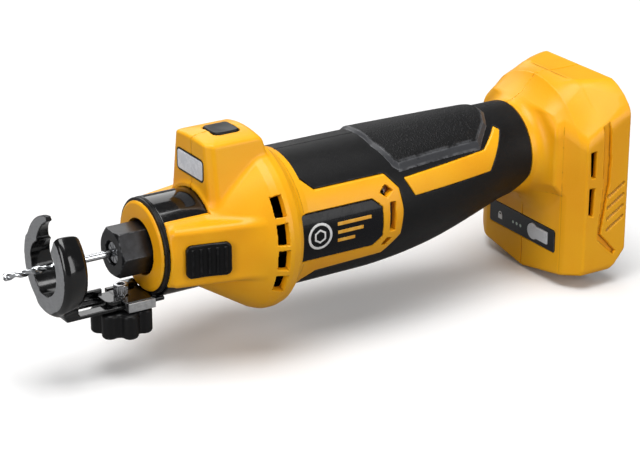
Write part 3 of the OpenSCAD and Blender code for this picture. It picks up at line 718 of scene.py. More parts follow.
# Turned profiles, as x, radius: the flared front and the hollow behind it
CONE = [(66, 0), (66, 21.2), (88.5, 35.2), (91.5, 36.3), (94.5, 36.4), (97.6, 35.6),
        (100, 33.6), (101.6, 31.4), (103.6, 30.0), (107, 29.6), (107, 0)]
VOID = [(86, 0), (86, 22), (90, 33), (98.6, 32.6), (100.6, 27), (145, 27), (145, 26),
        (152, 26), (152, 0)]
POD = [(47.1, -5), (47.1, 21.0), (84.5, 30.3), (88.2, 26.5), (88.2, -5)]   # x, abs(y)
# Battery foot: y, z from behind; x, z from the side; x, -abs(y) from above
FOOT_YZ = [(0, -51.7), (36.4, -45.2), (38, -43), (38, 26), (36.6, 31.2), (33, 35.2),
           (28.2, 37.4), (23, 39.2), (-23, 39.2), (-28.2, 37.4), (-33, 35.2), (-36.6, 31.2),
           (-38, 26), (-38, -43), (-36.4, -45.2)]
FOOT_XZ = [(236, -54), (252.7, -54), (252.9, -51.8), (266, -35.8), (285, -35), (285, 60),
           (248, 60), (248.2, 39.2), (232, 28.5), (232, -4), (236, -9)]
FOOT_XY = [(225, -26), (236, -28), (242.2, -38), (285, -38), (285, 60), (225, 60)]
LENS_YZ = rectangle(-7.7, 10.3, 27.2, 32.8)       # lens without its rounded border
BUTTON_XY = rectangle(77.6, 85.4, -3.9, 3.9)      # lock button without its rounded border
# Housing screws: x, z, depth of the boss on each side
SCREWS = [(84.5, -25.4, 9), (159, 20, 10), (159, -18.6, 10), (214, -4, 9), (248, 17.5, 33),
          (246, -38, 34)]


def grip_field(x, y, z, offset):
    """The grip grown by an offset. It is in double precision; F() rounds constants to single."""
    place = (x - 80) * 2
    i = clip(place.astype(np.int32), 0, len(GRIP_X) - 2)
    part = clip(place - i, 0, 1)
    radius = GRIP_RADIUS[i] * (1 - part) + GRIP_RADIUS[i + 1] * part
    axis = GRIP_AXIS[i] * (1 - part) + GRIP_AXIS[i + 1] * part
    return (hypot(y, z - axis) - radius - F(offset)) * F(0.985)


def cover_end(z):
    """The grip cover's rear edge, which steps forward on its underside."""
    low = clip((2.0 - z) / 12.0, 0, 1)
    return 225.0 - 5.0 * low * low * (3 - 2 * low)


def switch_frame(x, y):
    """Positions along and across the slanted slide switch, from its front corner."""
    angle = math.radians(-14.1)
    cosine, sine = math.cos(angle), math.sin(angle)
    u, v = x - 47, y + 21
    return cosine * u + sine * v, -sine * u + cosine * v


def foot_field(x, y, z):
    form = round_common(rounded(FOOT_YZ, y, z, 2.0), rounded(FOOT_XZ, x, z, 1.6), 1.6)
    form = round_common(form, rounded(FOOT_XY, x, -abs(y), 1.2), 1.4)
    # upper front corners cut by slanted planes
    corner = 0.652 * abs(y) + 0.662 * z - 0.368 * (x - 244) - 36.25
    form = round_common(form, corner, 2.6)
    return round_common(form, x - 265, 0.4)


def tower_field(x, y, z):
    """The lamp tower on top of the nose, wider towards its foot."""
    front = 67.5
    width = 13.1 + (41.0 - z) * 0.155
    left = (-y - width) * 0.988
    right = (y - width - 0.9) * 0.988
    left_chamfer = (-2.9 * (x - front) + 3.0 * (-y - (width - 2.9))) / 4.17
    right_chamfer = (-1.5 * (x - front) + 1.3 * (y - (width - 0.4))) / 1.985
    form = round_common(common(left, right), left_chamfer, 0.9)
    form = round_common(form, right_chamfer, 0.5)
    form = round_common(form, front - x, 0.9)
    crown, crown_radius = 43.6, 46
    top = disc(y, z, 0, crown - crown_radius, crown_radius)
    top = round_common(top, (-(x - front) * 0.35 + (z - 42.5)) / 1.06, 2.0)
    top = round_common(top, (x - 93.0) * 0.97 + (z - 43.2) * 0.24, 2.4)
    return common(round_common(form, top, 1.5), x - 98, 10 - z)


def pod_field(x, y, z):
    """Flared bulges on both sides of the nose."""
    return round_common(rounded(POD, x, abs(y), 2.2), slab(z, 0, 12.8), 2.8)


def outer_field(x, y, z):
    first, last = x.min(), x.max()
    rho = hypot(y, z)
    parts = [np.full(x.shape, 1e3, F)]
    if first < 125:
        front = rounded(CONE, x, rho, 0.6)
        if first < 112:
            # side shells beside the nose collar
            shells = round_common(rho - 21.45, z - 14.6, 0.6)
            shells = round_common(shells, -12.8 - z, 0.6)
            shells = round_common(shells, 46.45 - x, 0.5)
            shells = common(shells, x - 90, 10 - abs(y))
            front = soft_join(front, soft_join(shells, pod_field(x, y, z), 2.2), 2.2)
            front = soft_join(front, tower_field(x, y, z), 1.6)
        parts.append(front)
    if last > 85 and first < 175:
        panel = round_common(rho - 29.7, rounded(PANEL, x, z, 0.8) + 0.12, 0.7)
        parts.append(common(panel, 5 - abs(y)))
    if last > 85:
        parts.append(common(grip_field(x, y, z, -2.05), 100 - x, x - 236))
    if last > 200:
        flare = clip((x - 224.0) / 16.0, 0, 1)
        neck = (hypot(y, z - 8.2) - (20.5 + 10.5 * flare ** 2.2)) * 0.8
        neck = common(neck, cover_end(z) - x, x - 246)
        parts.append(soft_join(neck, foot_field(x, y, z), 5.0))
    return join(*parts)


def nose_openings(x, y, z, side):
    # lamp window with a narrow reveal, a pocket behind it, and the button's opening
    window = round_common(polygon(LENS_YZ, y, z) - 1.95, x - 76, 0.1)
    pocket = box(x, y, z, (70.4, -9.9, 20), (76, 12.5, 36.5))
    button = round_common(polygon(BUTTON_XY, x, y) - 2.25, 35 - z, 0.1)
    pin = common(disc(x, y, LOCK_X, 0, 4.6), 16 - z)
    tools = [window, pocket, button, pin]
    if side < 0:
        # slot for the switch stem, and room behind it
        u, v = switch_frame(x, y)
        tools += [box(u, v, z, (9, -3, -3), (21, 6, 3)),
                  box(x, y, z, (71.5, -26.0, -8), (84, -19, 8))]
    # air slots in the fan flange, at these angles above the horizontal
    aside = abs(y)
    for degrees in (30, 11, -7, -26):
        angle = math.radians(degrees)
        cosine, sine = math.cos(angle), math.sin(angle)
        outward = aside * cosine + z * sine
        around = -aside * sine + z * cosine
        slot = polygon([(88.0, -4.0), (92.1, -4.4), (92.1, 4.4), (88.0, 4.0)], x, around) - 0.25
        tools.append(common(slot, 29 - outward, outward - 42))
    return join(*tools)


def foot_openings(x, y, z):
    aside = abs(y)
    tools = [common(foot_field(x, y, z) + 3.0, x - 251),
             box(x, y, z, (251, -30, -70), (275, 30, 25)),
             cylinder(x, hypot(y, z - 6), 228, 243, 17),
             round_common(rounded(FOOT_GROOVE, x, z, 0.25), 36.0 - aside, 0.2)]
    tools += [common(rounded(slot, x, z, 0.25), 32 - aside) for slot in FOOT_SLOTS]
    # slanted ribs pressed into the lower rear flank, as soft waves that fade at the border
    pitch = 5.2
    count = (z + 10.2 - 0.6 * (x - 254)) / pitch
    wave = 1.15 * clip(1.25 * np.cos(2 * np.pi * count) - 0.25, 0, 1)
    border = join(x - 253.4, 263.8 - x, minimum(0.45 - count, count + 3.45) * pitch)
    wave = wave * clip(border / 0.9, 0, 1)
    ribs = (38.0 - wave - aside) * 0.8
    tools.append(common(ribs, np.where(wave > 0.02, F(-50), F(0.6))))
    # recess of the indicator panel and the opening behind it
    recess = rounded(rectangle(-24.15, 24.15, -37.25, -26.75), y, z, 1.1)
    tools += [common(recess, x - 237.4, 230 - x),
              box(x, y, z, (235, -20, -35.5), (241, 20, -28.5))]
    return join(*tools)


def inner_field(x, y, z, side):
    """Everything taken out of the outer form."""
    first, last = x.min(), x.max()
    rho = hypot(y, z)
    aside = abs(y)
    tools = [np.full(x.shape, 1e3, F)]
    if first < 125:
        tools += [cylinder(x, rho, 30, 88, 20.16), common(14.6 - z, x - 66.7, aside - 40),
                  common(12.84 + z, x - 64.0, aside - 40)]
    if first < 180:
        tools.append(polygon(VOID, x, rho))
    if first < 112:
        tools.append(nose_openings(x, y, z, side))
    if last > 120 and first < 180:
        slots = join(*[rounded(outline, x, z, radius) for outline, radius in GRIP_SLOTS])
        tools.append(common(slots, 15 - aside))
    if last > 90 and first < 170:
        tools.append(common(rounded(BADGE, x, z, 0.9) - 0.06, 28.85 - rho, 12 - aside))
    if last > 130:
        # tapered hollow of the grip
        along = x - 150.0
        radius = 24.2 - 7.6 * clip(along / 84.0, 0, 1)
        hollow = (hypot(y, z - 0.4 - along * 0.1086) - radius) * 0.97
        tools.append(common(hollow, 150 - x, x - 236))
    if last > 200:
        tools.append(foot_openings(x, y, z))
    return join(*tools)


def housing_field(x, y, z, side):
    form = cut(outer_field(x, y, z), inner_field(x, y, z, side))
    for screw_x, screw_z, depth in SCREWS:
        reach = hypot(x - screw_x, z - screw_z)
        if reach.min() > 12:
            continue
        form = join(form, common(reach - 4.3, -y * side, y * side - depth))
        form = cut(form, common(reach - 1.56, -8.2 - y, y - 10))
        if side > 0:
            form = cut(form, common(reach - 3.1, 8.0 - y))
    if x.max() > 245:
        form = cut(form, box(x, y, z, (253.9, -30, -70), (275, 30, 25)))
    return common(form, -y * side + 0.01)


for side in SIDES:
    side_piece(side, "shell_{}", housing_field, (46.0, -0.1, -52.2), (265.2, 38.5, 44.1),
               0.6, yellow, "housing_{}")


def cover_field(x, y, z, side):
    form = round_common(grip_field(x, y, z, 0.0), 104.9 - x, 0.6)
    form = round_common(form, x - cover_end(z) + 0.08, 0.9)
    form = round_cut(form, common(rounded(PANEL, x, z, 0.8), 5 - abs(y)), 0.7)
    form = round_cut(form, common(rounded(INLAY, x, z, 0.5), 5 - y * side), 0.35)
    form = cut(form, grip_field(x, y, z, -2.0))
    if side > 0:
        for screw_x, screw_z, _ in SCREWS[1:4]:
            form = cut(form, common(disc(x, z, screw_x, screw_z, 3.2), 5 - y))
    return common(form, -y * side + 0.01)


for side in SIDES:
    side_piece(side, "grip_cover_{}_soft", cover_field, (104, -0.1, -29.9), (225.3, 29.9, 29.9),
               0.55, soft_grip, "grip_cover_{}")


def pad_field(x, y, z):
    grip = grip_field(x, y, z, 0.0)
    edge = rounded(PAD, x, y, 0.8)
    # even height with a wide, clean bevel all round
    bevel = (grip + (edge + 0.15) * 0.62) / F(1.177)
    form = round_common(grip - F(1.12), bevel, 0.22)
    form = round_common(form, edge + 0.05, 0.12)
    return common(form, -(grip + F(0.45)), 5 - z)


def pad_faces(centres, normals):
    """Material 1, the painted highlight grey, on the border of the pad."""
    return (rounded(PAD, centres[:, 0].astype(F), centres[:, 1].astype(F), 0.8) > -1.85).astype(int)


piece("grip_pad_soft", pad_field, (144.5, -24.5, 8), (210.2, 24.5, 31), 0.42,
      [grained, pad_bevel_highlight], "grip_pad", chooser=pad_faces)


def inlay_field(x, y, z, side):
    form = round_common(grip_field(x, y, z, 0.32), rounded(INLAY, x, z, 0.5) + 0.12, 0.45)
    return common(form, -grip_field(x, y, z, -1.95), 5 - y * side)


def badge_field(x, y, z, side):
    rho = hypot(y, z)
    form = round_common(rho - 29.82, rounded(BADGE, x, z, 0.9) + 0.08, 0.25)
    return common(form, 28.95 - rho, 12 - y * side)


for side in SIDES:
    side_piece(side, "grip_inlay_{}_trim", inlay_field, (153, 5, 6.5), (211.5, 29.5, 25.2),
               0.35, yellow, "grip_inlay_{}")
    side_piece(side, "badge_{}_plate", badge_field, (101, 26, -10.8), (142, 30.3, 10.8),
               0.35, badge_black, "badge_{}")


# =====================================================================
# 5. Nose, lamp and controls. Turned profiles are x, radius.
# =====================================================================
def bezel_field(x, y, z):
    rho = hypot(y, z)
    ring = rounded([(42.8, 11.8), (43.2, 17.8), (43.8, 18.7), (44.3, 18.9), (44.3, 16.2),
                    (45.2, 16.2), (45.2, 11.8)], x, rho, 0.12)
    lip = rounded([(44.0, 14.0), (44.0, 16.4), (52, 16.4), (52, 15.2)], x, rho, 0.05)
    return join(ring, lip)


piece("nose_bezel_ring", bezel_field, (42.6, -19.2, -19.2), (52.2, 19.2, 19.2), 0.36,
      [yellow], "nose_bezel")


def seal_field(x, y, z):
    rho = hypot(y, z)
    ring = rounded([(44.33, 16.5), (44.33, 20.0), (46.32, 20.1), (46.32, 16.5)], x, rho, 0.35)
    ring = soft_cut(ring, disc(x, rho, 45.33, 20.2, 0.42), 0.2)
    return cut(ring, box(x, y, z, (40, -6.1, -24), (52, 6.1, -18.4)))


piece("seal_ring_soft", seal_field, (44.1, -20.4, -20.4), (46.5, 20.4, 20.4), 0.22,
      [seal], "seal_ring")

COLLAR = [(46.35, 16.5), (46.35, 20.13), (88, 20.13), (88, 15), (70.05, 15), (70.05, 13.02),
          (61.9, 13.02), (61.9, 11), (60, 11), (60, 15.2), (52.05, 15.2), (52.05, 16.5)]


def collar_field(x, y, z):
    rho = hypot(y, z)
    sleeve = rounded([(46.35, 18), (46.35, 21.4), (63.95, 21.4), (63.95, 18)], x, rho, 0.4)
    form = join(rounded(COLLAR, x, rho, 0.12), round_common(sleeve, z + 12.88, 0.3))
    return cut(form, common(disc(x, y, LOCK_X, 0, 2.3), 8 - z),
               box(x, y, z, (40, -6.1, -24), (60.1, 6.1, -19.3)))


piece("nose_collar_tube", collar_field, (46.1, -21.6, -21.6), (88.2, 21.6, 20.4), 0.45,
      [gloss_black], "nose_collar")


def lens_field(x, y, z):
    window = round_common(polygon(LENS_YZ, y, z) - 1.42, 67.35 - x, 0.5)
    flange = box(x, y, z, (70.35, -9.7, 24.8), (71.2, 12.3, 35.2), 0.1)
    return join(common(window, x - 70.4), flange)


def gasket_field(x, y, z):
    outline = polygon(LENS_YZ, y, z)
    frame_form = round_cut(outline - 1.94, outline - 1.45, 0.08)
    return round_common(frame_form, slab(x, 68.55, 1.1), 0.08)


piece("lamp_lens_window", lens_field, (67, -10.2, 24.4), (71.5, 12.8, 35.6), 0.3,
      [lens_clear], "lamp_lens")
piece("lamp_gasket", gasket_field, (67.3, -10.2, 25), (69.8, 12.8, 35), 0.15,
      [seal])


def switch_field(x, y, z):
    u, v = switch_frame(x, y)
    middle, pitch = 14.4, 3.4
    # shallow thumb dish, deeper in the middle
    top = 2.0 - 0.7 * np.exp(-((u - middle) / 6.0) ** 2)
    form = rounded(rectangle(4.9, 23.9, -8.1, 6.1), u, z, 2.6)
    form = common(round_common(form, (-v - top) * 0.97, 0.9), v)
    for i in range(-2, 3):
        height = 2.35 if abs(i) == 2 else 2.15
        rib = round_common(slab(u, middle + pitch * i, 0.55), -v - height, 0.4)
        form = soft_join(form, common(rib, slab(z, -1, 5.4), v), 0.45)
    return join(form, box(u, v, z, (12.5, -0.2, -2.4), (17, 2.8, 2.4), 0.2))


piece("slide_switch_cap", switch_field, (50.5, -29.6, -8.6), (71.5, -17.5, 6.6), 0.3,
      [black], "slide_switch", body="switch_slider")


def button_field(x, y, z):
    dish = np.sqrt((x - LOCK_X) ** 2 + y * y + (z - (43.95 + 30)) ** 2) - 30.45
    form = round_common(polygon(BUTTON_XY, x, y) - 2.05, z - 44.0, 0.9)
    form = common(soft_cut(form, dish, 0.4), 38.2 - z)
    return join(form, cylinder(z, hypot(x - LOCK_X, y), 36.4, 38.4, 4.4))


piece("lock_button_cap", button_field, (75, -6.4, 36), (88, 6.4, 44.3), 0.3,
      [black], "lock_button", body="lock")

NUT_CHAMFERS = [(30, -1), (30, 9.35), (31.3, 11.5), (46.3, 11.5), (48.2, 9.5), (60, 9.5),
                (60, -1)]
NUT_BORE = [(29, -1), (29, 5.7), (30, 5.35), (30.4, 5.2), (33.3, 5.2), (34.6, 6.5),
            (37.2, 6.5), (37.2, 7.56), (52, 7.56), (52, -1)]


def nut_field(x, y, z):
    rho = hypot(y, z)
    form = round_common(hexagon(z, y, 9.5, 0.35), slab(x, 38.5, 8.5), 0.25)
    form = join(form, cylinder(x, rho, 46.5, 51, 9.0, 0.3))
    form = round_common(form, rounded(NUT_CHAMFERS, x, rho, 0.15), 0.12)
    return cut(form, polygon(NUT_BORE, x, rho))


piece("collet_nut_hex", nut_field, (29.8, -11.1, -11.1), (51.2, 11.1, 11.1), 0.3,
      [oxide], "collet_nut", body="nut")


def build_bit():
    """Bit with two spiral flutes on its front part."""
    tip_x, end_x, radius, sides, lead = -17.0, 58.0, 1.5875, 48, 13.5
    stations = np.concatenate([np.arange(tip_x, 5.0, 0.14),
                               [5.4, 6, 8, 12, 20, 30, 40, 50, 57.6, 58.0]])
    angle = np.linspace(0, 2 * np.pi, sides, endpoint=False)
    rings = []
    for x in stations:
        fluted = clip((4.6 - x) / 2.6, 0, 1)
        fluted = fluted * fluted * (3 - 2 * fluted)
        turned_angle = angle - 2 * np.pi * (x - tip_x) / lead
        # two flutes: each a round valley beside a narrow land
        part = np.mod(turned_angle, np.pi) / np.pi
        valley = 1.0 - 0.46 * np.sin(np.pi * clip((part - 0.30) / 0.70, 0.0, 1.0)) ** 0.9
        r = radius * (1 - fluted * (1 - valley))
        if x > 57.7:
            r = r * 0.85
        tip = clip((x - tip_x) / 0.5, 0, 1)
        r = r * (0.86 + 0.14 * tip)
        rings.append(np.stack([np.full(sides, x) + (1 - tip) * 0.25 * (np.cos(2 * turned_angle)),
                               r * np.cos(angle), r * np.sin(angle)], 1))
    centres = np.array([[tip_x + 0.35, 0, 0], [end_x, 0, 0]])
    ob = tube("spiral_bit", np.array(rings), centres, steel, flip_start=True)
    register(ob, "bit", "cutting_bit")


build_bit()

# =====================================================================
# 6. Depth guide and its clamp
# =====================================================================
# Opening of the guide's ring, as y, z
GUIDE_GAP = [(-6.1, 9.3), (-9.4, 15.1), (-12, 19.6), (-12, 40), (30, 40), (30, 9.8),
             (5.5, 9.8), (0, 0)]


def guide_field(x, y, z):
    rho = hypot(y, z)
    # ring: a flat face, a round bevel, a bulging flank and a round back
    ring = rounded([(3.0, 4), (3.0, 16.75), (8.5, 16.75), (8.5, 4)], x, rho, 0.0) - 3.0
    ring = round_common(common(ring, 4 - rho), -x, 0.12)
    ring = round_common(ring, 0.45 * (x - 8.0) + rho - 19.4, 2.0)
    heel = rounded([(0.4, 0), (0.4, 17.8), (6.5, 22.5), (12, 22.5), (12, 0)], x, rho, 1.0)
    heel = round_common(heel, abs(y) - 7.4 - clip((-z - 14) / 6, -1.0, 0) * 4.0, 2.0)
    heel = round_common(common(heel, z + 12), -22.5 - z, 0.8)
    ring = soft_join(ring, heel, 3.0)
    thickness = 12.0 - clip((z + 14) / 22, 0, 1) * 4.9 * clip((y + 3) / 7, 0, 1)
    ring = round_common(ring, (x - thickness) * 0.95, 1.2)
    ring = round_cut(ring, polygon(GUIDE_GAP, y, z), 1.6)
    # hook at the top, growing thinner upwards
    hook = round_cut(disc(y, z, -8.5, -0.9, 25), disc(y, z, -14, 2.6, 21), 0.6)
    hook = common(round_common(hook, -4.7 - y, 0.5), 2 - z)
    thickness = 7.3 - clip((z - 6) / 18, 0, 1) * 5.2
    hook = round_common(hook, (x - thickness) * 0.94, 0.8)
    hook = round_common(hook, -x, 0.25)
    form = soft_join(ring, hook, 2.0)
    # plate below, with a flange on its right and a long slot
    plate = polygon(rectangle(6.4, 49.6, -6.6, 6.6), x, y) - 0.4
    plate = round_common(plate, slab(z, -21.7, 0.8), 0.3)
    flange = round_common(slab(y, 6.18, 0.64), slab(x, 18, 10), 0.3)
    flange = round_common(flange, slab(z, -19.5, 2.3), 0.3)
    form = soft_join(form, soft_join(plate, flange, 0.5), 1.0)
    if x.min() < 16:
        form = round_common(form, 11.2 - rho + np.where(x > 20, F(-100), F(0)), 0.35)
    slot = hypot(maximum(slab(x, 29.45, 15.15), 0), y) - 2.2
    return round_cut(form, common(slot, z + 17, 12.2 - x), 0.25)


def guide_faces(centres, normals):
    """Material 1 on the flat front."""
    return ((normals[:, 0] < -0.9) & (centres[:, 0] < 0.3)).astype(int)


piece("depth_guide_ring", guide_field, (-0.2, -20, -24.4), (50.2, 20, 24.6), 0.33,
      [paint, guide_face], "depth_guide", body="guide", chooser=guide_faces)


def bracket_field(x, y, z):
    level = slab(z, -19.825, 1.025)
    plate = round_common(rounded(rectangle(31, 44.2, -9.4, 5.4), x, y, 0.6), level, 0.3)
    nose = round_common(rounded(rectangle(24.8, 34, -5.3, 5.3), x, y, 2.6), level, 0.3)
    tongue = box(x, y, z, (40, -6, -20.85), (58.5, 5.4, -19.35), 0.3)
    rail = box(x, y, z, (31, 7.15, -20.85), (44.2, 9.4, -18.8), 0.35)
    block = box(x, y, z, (37, 5.0, -20.85), (44.2, 9.4, -17.2), 0.4)
    form = join(soft_join(plate, nose, 0.8), tongue, rail, block)
    form = cut(form, cylinder(x, hypot(y, z), 42.4, 44.4, 19.1))
    form = round_cut(form, disc(x, y, CLAMP_X, 0, 2.05), 0.15)
    for hole_y in (-3, 3):
        reach = hypot(x - 54, y - hole_y)
        form = cut(form, reach - 1.25, common(reach - 2.35, z + 19.95))
    return form


piece("guide_bracket_block", bracket_field, (24.5, -9.7, -21.1), (58.8, 9.7, -16.9), 0.27,
      [paint], "guide_bracket")


def bolt_field(x, y, z):
    across = x - CLAMP_X
    radial = hypot(across, y)
    knurl = (0.09 * np.cos(np.arctan2(y, across) * 26)
             * clip((z + 18.4) / 0.5, 0, 1) * clip((-14.6 - z) / 0.4, 0, 1))
    form = join(cylinder(z, radial + knurl, -18.8, -14.2, 3.02, 0.35),
                cylinder(z, radial, -32.5, -18.7, 2.0))
    return round_cut(form, common(hexagon(across, y, 1.5), -16.4 - z), 0.1)


piece("clamp_bolt_head", bolt_field, (30.5, -3.3, -32.8), (37.1, 3.3, -14), 0.17,
      [screw_steel], "clamp_bolt")


def saddle_field(x, y, z):
    form = join(box(x, y, z, (32, -10.3, -23.2), (44.2, 9.2, -20.92), 0.2),
                box(x, y, z, (32, -10.3, -23.2), (44.2, -9.48, -19.2), 0.18))
    form = round_cut(form, box(x, y, z, (30, -7.1, -22.52), (50, 7.1, -10), 0.05), 0.1)
    return cut(form, common(disc(x, y, CLAMP_X, 0, 2.06), -30 - z))


piece("clamp_saddle_plate", saddle_field, (31.8, -10.5, -23.4), (44.4, 9.4, -19.0), 0.2,
      [zinc], "clamp_saddle", body="saddle")


def knob_field(x, y, z):
    across = x - CLAMP_X
    radial = hypot(across, y)
    # seven round lobes with round valleys between them
    pitch = 2 * np.pi / 7
    angle = np.arctan2(y, across) - math.radians(6.5)
    angle = angle - pitch * np.round(angle / pitch)
    lobe = disc(radial * np.cos(angle), radial * np.sin(angle), 9.3, 0, 3.5)
    form = soft_join(lobe, radial - 10.0, 1.2)
    form = round_common(form, z + 23.7, 1.3)
    form = round_common(form, -34.4 - z, 1.6)
    # boss above and below, a ring groove underneath, and the bore
    form = join(form, cylinder(z, radial, -34.9, -23.25, 6.2, 0.4))
    form = soft_cut(form, common(radial - 8.2, 6.9 - radial, z + 33.4), 0.5)
    return cut(form, common(radial - 2.06, -33.5 - z))


piece("clamp_knob_lobed", knob_field, (20.8, -13.0, -35.1), (46.8, 13.0, -23.1), 0.33,
      [knob_black], "clamp_knob", body="knob")


# =====================================================================
# 7. Battery foot details
# =====================================================================
def panel_field(x, y, z):
    form = rounded(rectangle(-24.0, 24.0, -37.15, -26.85), y, z, 1.0)
    form = common(round_common(form, 235.9 - x, 0.2), x - 237.3)
    for light_y in (1, 3.8, 6.6):
        form = cut(form, disc(y, z, light_y, -32.6, 0.75))
    return cut(form, disc(y, z, -8.4, -32, 4.05),
               polygon(rectangle(-19.35, -10.2, -35.15, -28.85), y, z))


piece("indicator_film", panel_field, (235.7, -24.3, -37.4), (237.5, 24.3, -26.6), 0.22,
      [panel_film], "indicator_panel")


def key_field(x, y, z):
    bar = rounded(rectangle(-19.15, -9.8, -34.95, -29.05), y, z, 0.5)
    form = soft_join(disc(y, z, -8.4, -32, 3.85), bar, 0.5)
    form = common(round_common(form, 235.45 - x, 0.5), x - 238)
    return join(form, box(x, y, z, (237.9, -12, -34), (239.4, -6, -30)))


piece("panel_button_key", key_field, (235.2, -19.5, -36.2), (239.6, -4.2, -27.8), 0.22,
      [silver], "panel_button", body="panel_key")


def icon_field(x, y, z):
    """Small lock symbol at the right end of the panel."""
    body = rounded(rectangle(14.6, 17.6, -34.2, -32.0), y, z, 0.2)
    hoop = common(abs(disc(y, z, 16.1, -32.0, 1.1)) - 0.25, -32.1 - z)
    return common(join(body, hoop), slab(x, 235.92, 0.14))


piece("panel_icon", icon_field, (235.6, 14, -34.6), (236.2, 18.2, -30.4), 0.1,
      [mark_white], relax=1)


def rails_field(x, y, z):
    form = common(foot_field(x, y, z) + 0.1,
                  box(x, y, z, (254, -29.9, -60), (264.8, 29.9, 24.9), 0.3))
    for lo, hi, edge in (((256.5, -22.4, -70), (275, 22.4, 20), 1.0),
                         ((256.5, -26.6, -70), (261.6, 26.6, 20), 0.4),
                         ((250, -16, -6), (258, 16, 12), 0.1)):
        form = round_cut(form, box(x, y, z, lo, hi, edge), 0.35)
    # ribs across the floor between the rails
    for rib_z in (-42, -34, -26, -18):
        rib = box(x, y, z, (255.5, -14, rib_z - 0.6), (257.1, 14, rib_z + 0.6), 0.3)
        form = join(form, rib)
    return form


piece("battery_rail_plate", rails_field, (253.8, -30.1, -52), (265, 30.1, 25.1), 0.5,
      [black], "battery_rails")

# =====================================================================
# 8. Emblem on the badges and the lock spring
# =====================================================================
BADGE_X = 121.5      # middle of the badge


def on_badge(form, y, z, side):
    """Keep a thin layer of the form on one badge's surface."""
    rho = hypot(y, z)
    return common(form, rho - 29.88, 29.6 - rho, -y * side)


def emblem_ring(x, y, z, side):
    """A plain hexagon in a ring."""
    u = x - BADGE_X + 11.0
    form = join(abs(disc(u, z, 0, 0, 5.2)) - 0.55, abs(hexagon(u, z, 2.3)) - 0.4)
    return on_badge(form, y, z, side)


def emblem_bars(x, y, z, side):
    """Three bars with a common front end."""
    start = -2.5
    bars = [common(slab(x - BADGE_X, (start + end) / 2, (end - start) / 2), slab(z, bar_z, 0.75))
            for bar_z, end in ((3.6, 14.0), (0.0, 10.0), (-3.6, 6.0))]
    return on_badge(join(*bars), y, z, side)


for side in SIDES:
    side_piece(side, "badge_{}_ring", emblem_ring, (103.5, 28, -6.2), (117.5, 30.2, 6.2),
               0.16, mark_white, relax=1)
    side_piece(side, "badge_{}_bars", emblem_bars, (118, 28, -4.8), (136.5, 30.2, 4.8),
               0.16, mark_yellow, relax=1)


def build_spring():
    """Return spring of the lock button: round wire with closed ends."""
    turns, sides, wire, radius = 6.5, 16, 0.4, 3.1
    bottom, top = 20.78, 30.52
    part = np.linspace(0.0, 1.0, int(turns * 40) + 1)
    # the first and last turn lie almost flat, the turns between them rise evenly
    rise = clip(part * turns - 0.85, 0, turns - 1.7) / (turns - 1.7)
    rise = rise * 0.9 + 0.1 * part
    angle = 2 * np.pi * turns * part
    centre = np.stack([LOCK_X + radius * np.cos(angle), radius * np.sin(angle),
                       bottom + (top - bottom) * rise], 1)
    along = np.gradient(centre, axis=0)
    along /= np.linalg.norm(along, axis=1)[:, None]
    out = np.stack([np.cos(angle), np.sin(angle), np.zeros_like(angle)], 1)
    up = np.cross(along, out)
    up /= np.linalg.norm(up, axis=1)[:, None]
    around = np.linspace(0, 2 * np.pi, sides, endpoint=False)[None, :, None]
    rings = centre[:, None, :] + wire * (np.cos(around) * out[:, None, :]
                                         + np.sin(around) * up[:, None, :])
    ob = tube("lock_return_spring", rings, centre[[0, -1]], steel, flip_start=False)
    register(ob, "housing", "lock_spring")
    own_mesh(ob)


build_spring()

# CAD nodes that keep their shape and get a finish
FINISHES = {
    "lock_pin": steel, "collet": turned, "spindle": turned,
    "front_bearing_outer": bearing, "front_bearing_inner": bearing,
    "front_bearing_balls": bearing, "rear_bearing_outer": bearing,
    "rear_bearing_inner": bearing, "rear_bearing_balls": bearing,
    "rotor_core": laminations, "rotor_magnets": magnet, "stator_core": laminations,
    "stator_windings": copper, "cooling_fan": black, "controller_board": green_board,
    "board_capacitor": sleeve, "power_leads": wire_red, "terminal_block": black,
    "terminal_blades": brass, "indicator_lights": light_pipe, "bracket_screws": screw_steel,
    "housing_screws": oxide, "lamp_board": white_board, "switch_body": black,
    "rear_bearing_plate": cast,
}
for name, material in FINISHES.items():
    slots = NODES[name].data.materials
    slots.clear()
    slots.append(material)


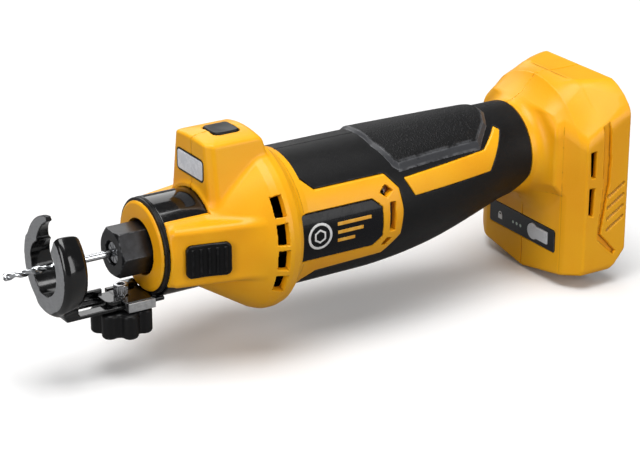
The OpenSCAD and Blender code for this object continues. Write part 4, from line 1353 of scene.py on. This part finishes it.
# =====================================================================
# 9. Floor, lights, world and camera, in metres
# =====================================================================
def build_floor():
    mesh = bpy.data.meshes.new("floor")
    bm = bmesh.new()
    bmesh.ops.create_grid(bm, x_segments=2, y_segments=2, size=6.0)
    bm.to_mesh(mesh)
    bm.free()
    ob = bpy.data.objects.new("floor", mesh)
    ob.location = (0.13, 0.0, -0.0522)
    SCENE.collection.objects.link(ob)
    material = bpy.data.materials.new("floor")
    material.use_nodes = True
    tree = material.node_tree
    new, link = tree.nodes.new, tree.links.new
    shader = tree.nodes["Principled BSDF"]
    # white to the camera, grey to bounced light
    path = new("ShaderNodeLightPath")
    colour = new("ShaderNodeMix")
    colour.data_type = "RGBA"
    colour.inputs[6].default_value = (0.30, 0.30, 0.30, 1)
    colour.inputs[7].default_value = (0.96, 0.96, 0.96, 1)
    link(path.outputs["Is Camera Ray"], colour.inputs[0])
    link(colour.outputs[2], shader.inputs["Base Color"])
    shader.inputs["Roughness"].default_value = 0.9
    shader.inputs["Specular IOR Level"].default_value = 0.1
    # far from the object the floor runs out into the white background
    geometry = new("ShaderNodeNewGeometry")
    length = new("ShaderNodeVectorMath")
    length.operation = "LENGTH"
    link(geometry.outputs["Position"], length.inputs[0])
    far = new("ShaderNodeMapRange")
    far.inputs["From Min"].default_value = 0.45
    far.inputs["From Max"].default_value = 1.2
    link(length.outputs["Value"], far.inputs["Value"])
    glow = new("ShaderNodeMath")
    glow.operation = "MULTIPLY"
    link(far.outputs["Result"], glow.inputs[0])
    link(path.outputs["Is Camera Ray"], glow.inputs[1])
    shader.inputs["Emission Color"].default_value = (1, 1, 1, 1)
    link(glow.outputs[0], shader.inputs["Emission Strength"])
    mesh.materials.append(material)


build_floor()

# Area lights: name, place, point aimed at, width, height, watts
LIGHTS = [
    ("key_top", (0.06, -0.12, 1.0), (0.13, 0, 0), 0.75, 0.75, 10.5),
    ("front_left", (-0.85, -0.30, 0.30), (0.08, 0, 0), 0.35, 0.7, 3.6),
    ("right_side", (0.55, -0.95, 0.32), (0.2, 0, 0), 0.35, 0.7, 3.0),
    ("back", (0.3, 0.9, 0.6), (0.15, 0, 0), 0.8, 0.8, 3.5),
]


def add_aimed(name, data, place, direction):
    """Link a light or a camera that looks in a direction."""
    ob = bpy.data.objects.new(name, data)
    ob.location = place
    ob.rotation_euler = direction.to_track_quat("-Z", "Y").to_euler()
    SCENE.collection.objects.link(ob)
    return ob


for name, place, target, width, height, watts in LIGHTS:
    light = bpy.data.lights.new(name, "AREA")
    light.energy = watts
    light.shape = "RECTANGLE"
    light.size = width
    light.size_y = height
    add_aimed(name, light, place, Vector(target) - Vector(place))

# World: white to the camera, dim as a light
world = bpy.data.worlds.new("studio")
SCENE.world = world
world.use_nodes = True
tree = world.node_tree
background = tree.nodes["Background"]
background.inputs[0].default_value = (1, 1, 1, 1)
path = tree.nodes.new("ShaderNodeLightPath")
strength = tree.nodes.new("ShaderNodeMapRange")
tree.links.new(path.outputs["Is Camera Ray"], strength.inputs["Value"])
strength.inputs["To Min"].default_value = 0.16
strength.inputs["To Max"].default_value = 1.0
tree.links.new(strength.outputs[0], background.inputs[1])

camera = bpy.data.cameras.new("camera")
camera.lens = 129.375
camera.sensor_width = 36
camera.clip_start = 0.01
camera.clip_end = 50
SCENE.camera = add_aimed("camera", camera, (-0.350176, -0.766634, 0.356445),
                         Vector((0.49133, 0.78630, -0.37461)))
SCENE.view_settings.view_transform = "Standard"
SCENE.view_settings.look = "None"
